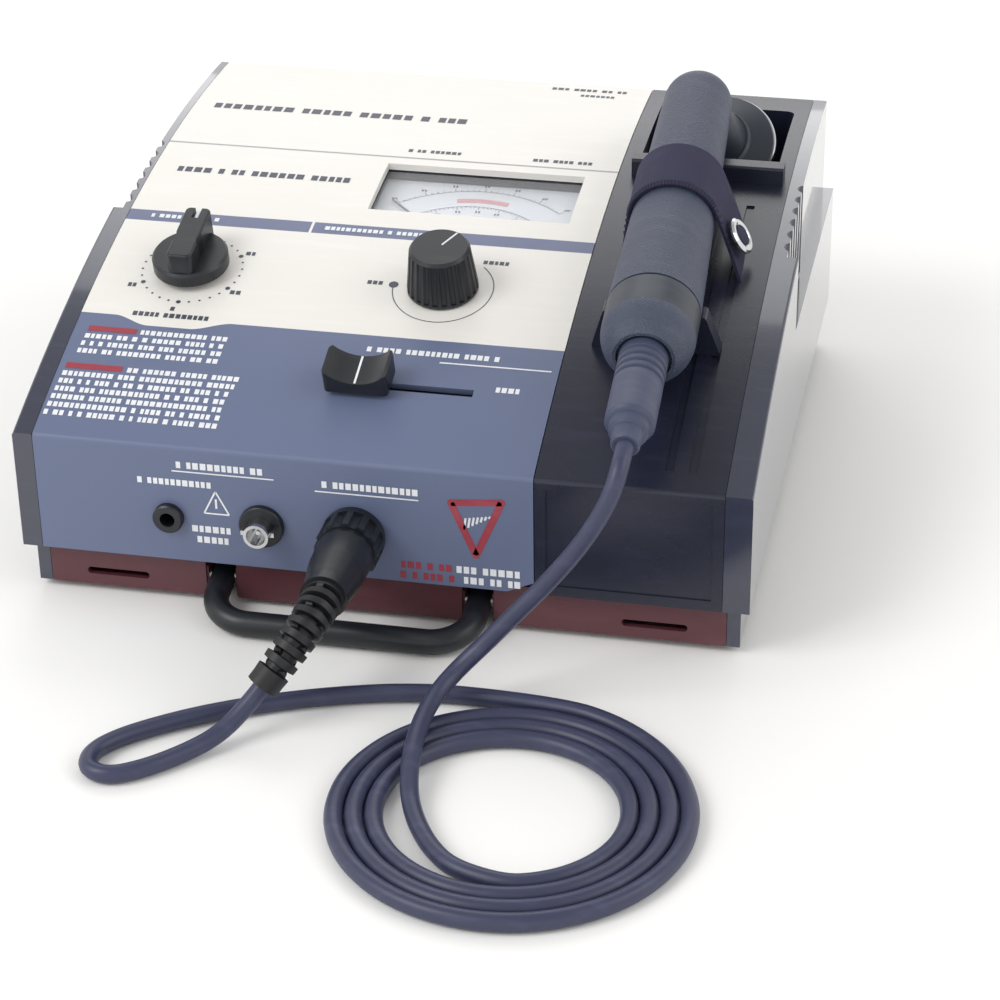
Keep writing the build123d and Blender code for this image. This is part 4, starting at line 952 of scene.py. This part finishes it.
def makeFrontPrint():
    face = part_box("control_panel")[0].y
    white = startEmpty("frontWhitePrint")
    seed = 60
    for line in panelMarks["frontLines"]:
        letterRow(line["x"], line["z"], line["length"], line["height"], uprightMark, seed)
        seed += 1
    uprightMark(-0.0635, 0.0640, 0.0430, 0.0006)
    uprightMark(-0.0035, 0.0606, 0.0430, 0.0006)
    letterRow(0.0330, 0.0302, 0.0270, 0.0032, uprightMark, seed)
    letterRow(0.0360, 0.0254, 0.0240, 0.0032, uprightMark, seed + 1)
    small = frontSigns["small"]
    for start, end in zip(small, small[1:] + small[:1]):
        slantedMark(start, end, 0.0007)
    slantedMark((-0.0670, 0.0480), (-0.0670, 0.0525), 0.0009)
    for index in range(7):
        x = 0.0365 + 0.0017 * index
        slantedMark((x, 0.0492 + 0.0010 * index), (x + 0.0007, 0.0545 + 0.0003 * index), 0.0009)
    endMarks(white, "frontWhitePrint", "ink_white", press=False)
    red = startEmpty("frontRedPrint")
    corners = frontSigns["large"]
    for start, end in zip(corners, corners[1:] + corners[:1]):
        slantedMark(start, end, 0.0030)
    for x, z in corners:
        addDot((x, face - panelMarks["lift"], z), 0.0015, (math.radians(90), 0, 0))
    letterRow(0.0100, 0.0302, 0.0210, 0.0032, uprightMark, seed + 2)
    letterRow(0.0095, 0.0254, 0.0240, 0.0032, uprightMark, seed + 3)
    endMarks(red, "frontRedPrint", "ink_red", press=False)


def slantedMark(start, end, width):
    # a straight stroke on the front face from one point to another
    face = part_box("control_panel")[0].y
    (x1, z1), (x2, z2) = start, end
    length, angle = math.hypot(x2 - x1, z2 - z1), math.atan2(z2 - z1, x2 - x1)
    turn = Matrix.Rotation(-angle, 3, "Y") @ upright
    middle = ((x1 + x2) / 2, face - panelMarks["lift"] * 1.1, (z1 + z2) / 2)
    addFlat(middle, turn, length, width)


makePanelPrint()
makeFrontPrint()
print("panel print done")

# ---- the meter's dial ----

dialMarks = {
    "outer": 0.0530,        # radius of the outer arc
    "inner": 0.0400,
    "band": 0.0450,         # radius of the coloured band
    "bandWidth": 0.0032,
    "bandSpan": (-14, 16),  # degrees right of straight up
    "depth": 0.0094,        # below the needle's pivot
    "lift": 0.00008,
    "sweep": 43.0,          # degrees each side of straight up
    "line": 0.0003,
    "ticks": 31,
    "longTick": 0.0026,     # every fifth tick
    "shortTick": 0.0014,
    "figures": 7,           # pairs of strokes where the figures would stand
    "figureReach": (0.0046, -0.0044),
    "figureStroke": (0.0008, 0.0017),
}


def makeDial():
    # the scale is centred on the needle's pivot, so it is laid out in the needle's own frame
    stand = jointFrame("needle")
    depth = dialMarks["lift"] - dialMarks["depth"]

    def stroke(x, y, width, height, angle):
        spin = stand.to_3x3() @ Matrix.Rotation(angle, 3, "Z")
        addFlat(stand @ Vector((x, y, depth)), spin, width, height)

    def arc(radius, width, start, end, steps):
        for index in range(steps):
            angle = math.radians(start + (end - start) * (index + 0.5) / steps)
            length = radius * math.radians(abs(end - start)) / steps * 1.03
            stroke(radius * math.sin(angle), radius * math.cos(angle), length, width, -angle)

    def finishDial(piece, name, slotName):
        bpy.ops.object.mode_set(mode="OBJECT")
        finishPiece(piece, name, slotName, bodyOf["meter_dial"])

    sweep = dialMarks["sweep"]
    dark = startEmpty("dialScale")
    arc(dialMarks["outer"], dialMarks["line"], -sweep, sweep, 40)
    arc(dialMarks["inner"], dialMarks["line"], -sweep, sweep, 34)
    for index in range(dialMarks["ticks"]):
        angle = math.radians(-sweep + 2 * sweep * index / (dialMarks["ticks"] - 1))
        for ring, size in (("outer", 1), ("inner", -1)):
            long = dialMarks["longTick"] if index % 5 == 0 else dialMarks["shortTick"]
            reach = dialMarks[ring] + size * long / 2
            stroke(reach * math.sin(angle), reach * math.cos(angle), dialMarks["line"], long, -angle)
    outward, inward = dialMarks["figureReach"]
    for index in range(dialMarks["figures"]):
        angle = math.radians(-sweep + 2 * sweep * index / (dialMarks["figures"] - 1))
        for reach in (dialMarks["outer"] + outward, dialMarks["inner"] + inward):
            for shift in (-0.0006, 0.0008):
                x, y = reach * math.sin(angle) + shift, reach * math.cos(angle)
                stroke(x, y, *dialMarks["figureStroke"], -angle)
    finishDial(dark, "dialScale", "ink_dark")
    pink = startEmpty("dialBand")
    arc(dialMarks["band"], dialMarks["bandWidth"], *dialMarks["bandSpan"], 10)
    finishDial(pink, "dialBand", "ink_pink")


makeDial()
print("dial done")

# ---- pointers on the knobs ----

pointerSize = {
    # middle of each line in its joint's frame, then its width, length and thickness
    "timer": dict(at=(0, 0.0160, 0.0135), size=(0.0016, 0.0068, 0.0070)),
    "intensity": dict(reach=0.0066, height=0.0223, size=(0.0008, 0.0100, 0.0002), angle=-29),
    "slide": dict(size=(0.0009, 0.0150)),
}


def addStroke(stand, at, size, angle=0.0):
    # a slim bar with softened edges, laid on a knob
    turn = stand.to_3x3() @ Matrix.Rotation(angle, 3, "Z")
    bpy.ops.mesh.primitive_cube_add(size=1, location=stand @ Vector(at), rotation=turn.to_euler())
    stroke = bpy.context.object
    stroke.scale = size
    bpy.ops.object.transform_apply(location=True, rotation=True, scale=True)
    softenEdges(stroke, 0.00012, 2)
    return stroke


def makePointers():
    timer, intensity, slide = (pointerSize[key] for key in ("timer", "intensity", "slide"))
    stroke = addStroke(jointFrame("timer"), timer["at"], timer["size"])
    finishPiece(stroke, "timerPointerLine", "ink_white", "timer")
    angle = math.radians(intensity["angle"])
    at = (intensity["reach"] * math.sin(-angle), intensity["reach"] * math.cos(angle), intensity["height"])
    stroke = addStroke(jointFrame("intensity"), at, intensity["size"], angle)
    finishPiece(stroke, "intensityPointerLine", "ink_white", "intensity")
    low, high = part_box("slide_knob")
    bpy.ops.object.select_all(action="DESELECT")
    middle = ((low.x + high.x) / 2, (low.y + high.y) / 2, panelMarks["drop"])
    bpy.ops.mesh.primitive_grid_add(x_subdivisions=1, y_subdivisions=40, size=1, location=middle)
    line = bpy.context.object
    line.scale = (*slide["size"], 1)
    bpy.ops.object.transform_apply(location=True, rotation=True, scale=True)
    pressOnto(line, nodes["slide_knob"], 0.0001)
    finishPiece(line, "slideCentreLine", "ink_white", "slider")


makePointers()
print("pointers done")

# ---- the strap's snap: a dark cap inside its bright ring ----


snapCap = {"radius": 0.0047, "depth": 0.0010, "lift": 0.0003, "bevel": 0.0003}


def makeSnapCentre():
    mesh = nodes["strap_snap"].data
    centre = sum((v.co for v in mesh.vertices), Vector()) / len(mesh.vertices)
    normal = max((face for face in mesh.polygons), key=lambda face: face.area).normal.copy()
    if normal.x < 0:
        normal.negate()
    turn = normal.to_track_quat("Z", "Y").to_euler()
    place = centre + normal * snapCap["lift"]
    bpy.ops.mesh.primitive_cylinder_add(
        vertices=32, radius=snapCap["radius"], depth=snapCap["depth"], location=place, rotation=turn)
    cap = bpy.context.object
    bpy.ops.object.transform_apply(location=True, rotation=True, scale=True)
    softenEdges(cap, snapCap["bevel"], 3)
    return finishPiece(cap, "snapCentre", "webbing", bodyOf["strap_snap"])


makeSnapCentre()
print("snap done")

# ---- the table ----


def makeTable():
    bpy.ops.mesh.primitive_plane_add(size=9, location=(0, 0, -0.0002))
    table = bpy.context.object
    table.name = "paleTable"
    material = bpy.data.materials.new("paleTableTop")
    material.use_nodes = True
    tree = material.node_tree
    shader = tree.nodes["Principled BSDF"]
    coords = tree.nodes.new("ShaderNodeTexCoord")
    cloud = tree.nodes.new("ShaderNodeTexNoise")
    cloud.inputs["Scale"].default_value = 3
    spread = tree.nodes.new("ShaderNodeMapRange")
    spread.inputs["To Min"].default_value = 0.6
    spread.inputs["To Max"].default_value = 0.8
    tree.links.new(coords.outputs["Object"], cloud.inputs["Vector"])
    tree.links.new(cloud.outputs[0], spread.inputs["Value"])
    tree.links.new(spread.outputs["Result"], shader.inputs["Roughness"])
    shader.inputs["Base Color"].default_value = (0.93, 0.925, 0.91, 1)
    table.data.materials.append(material)


makeTable()
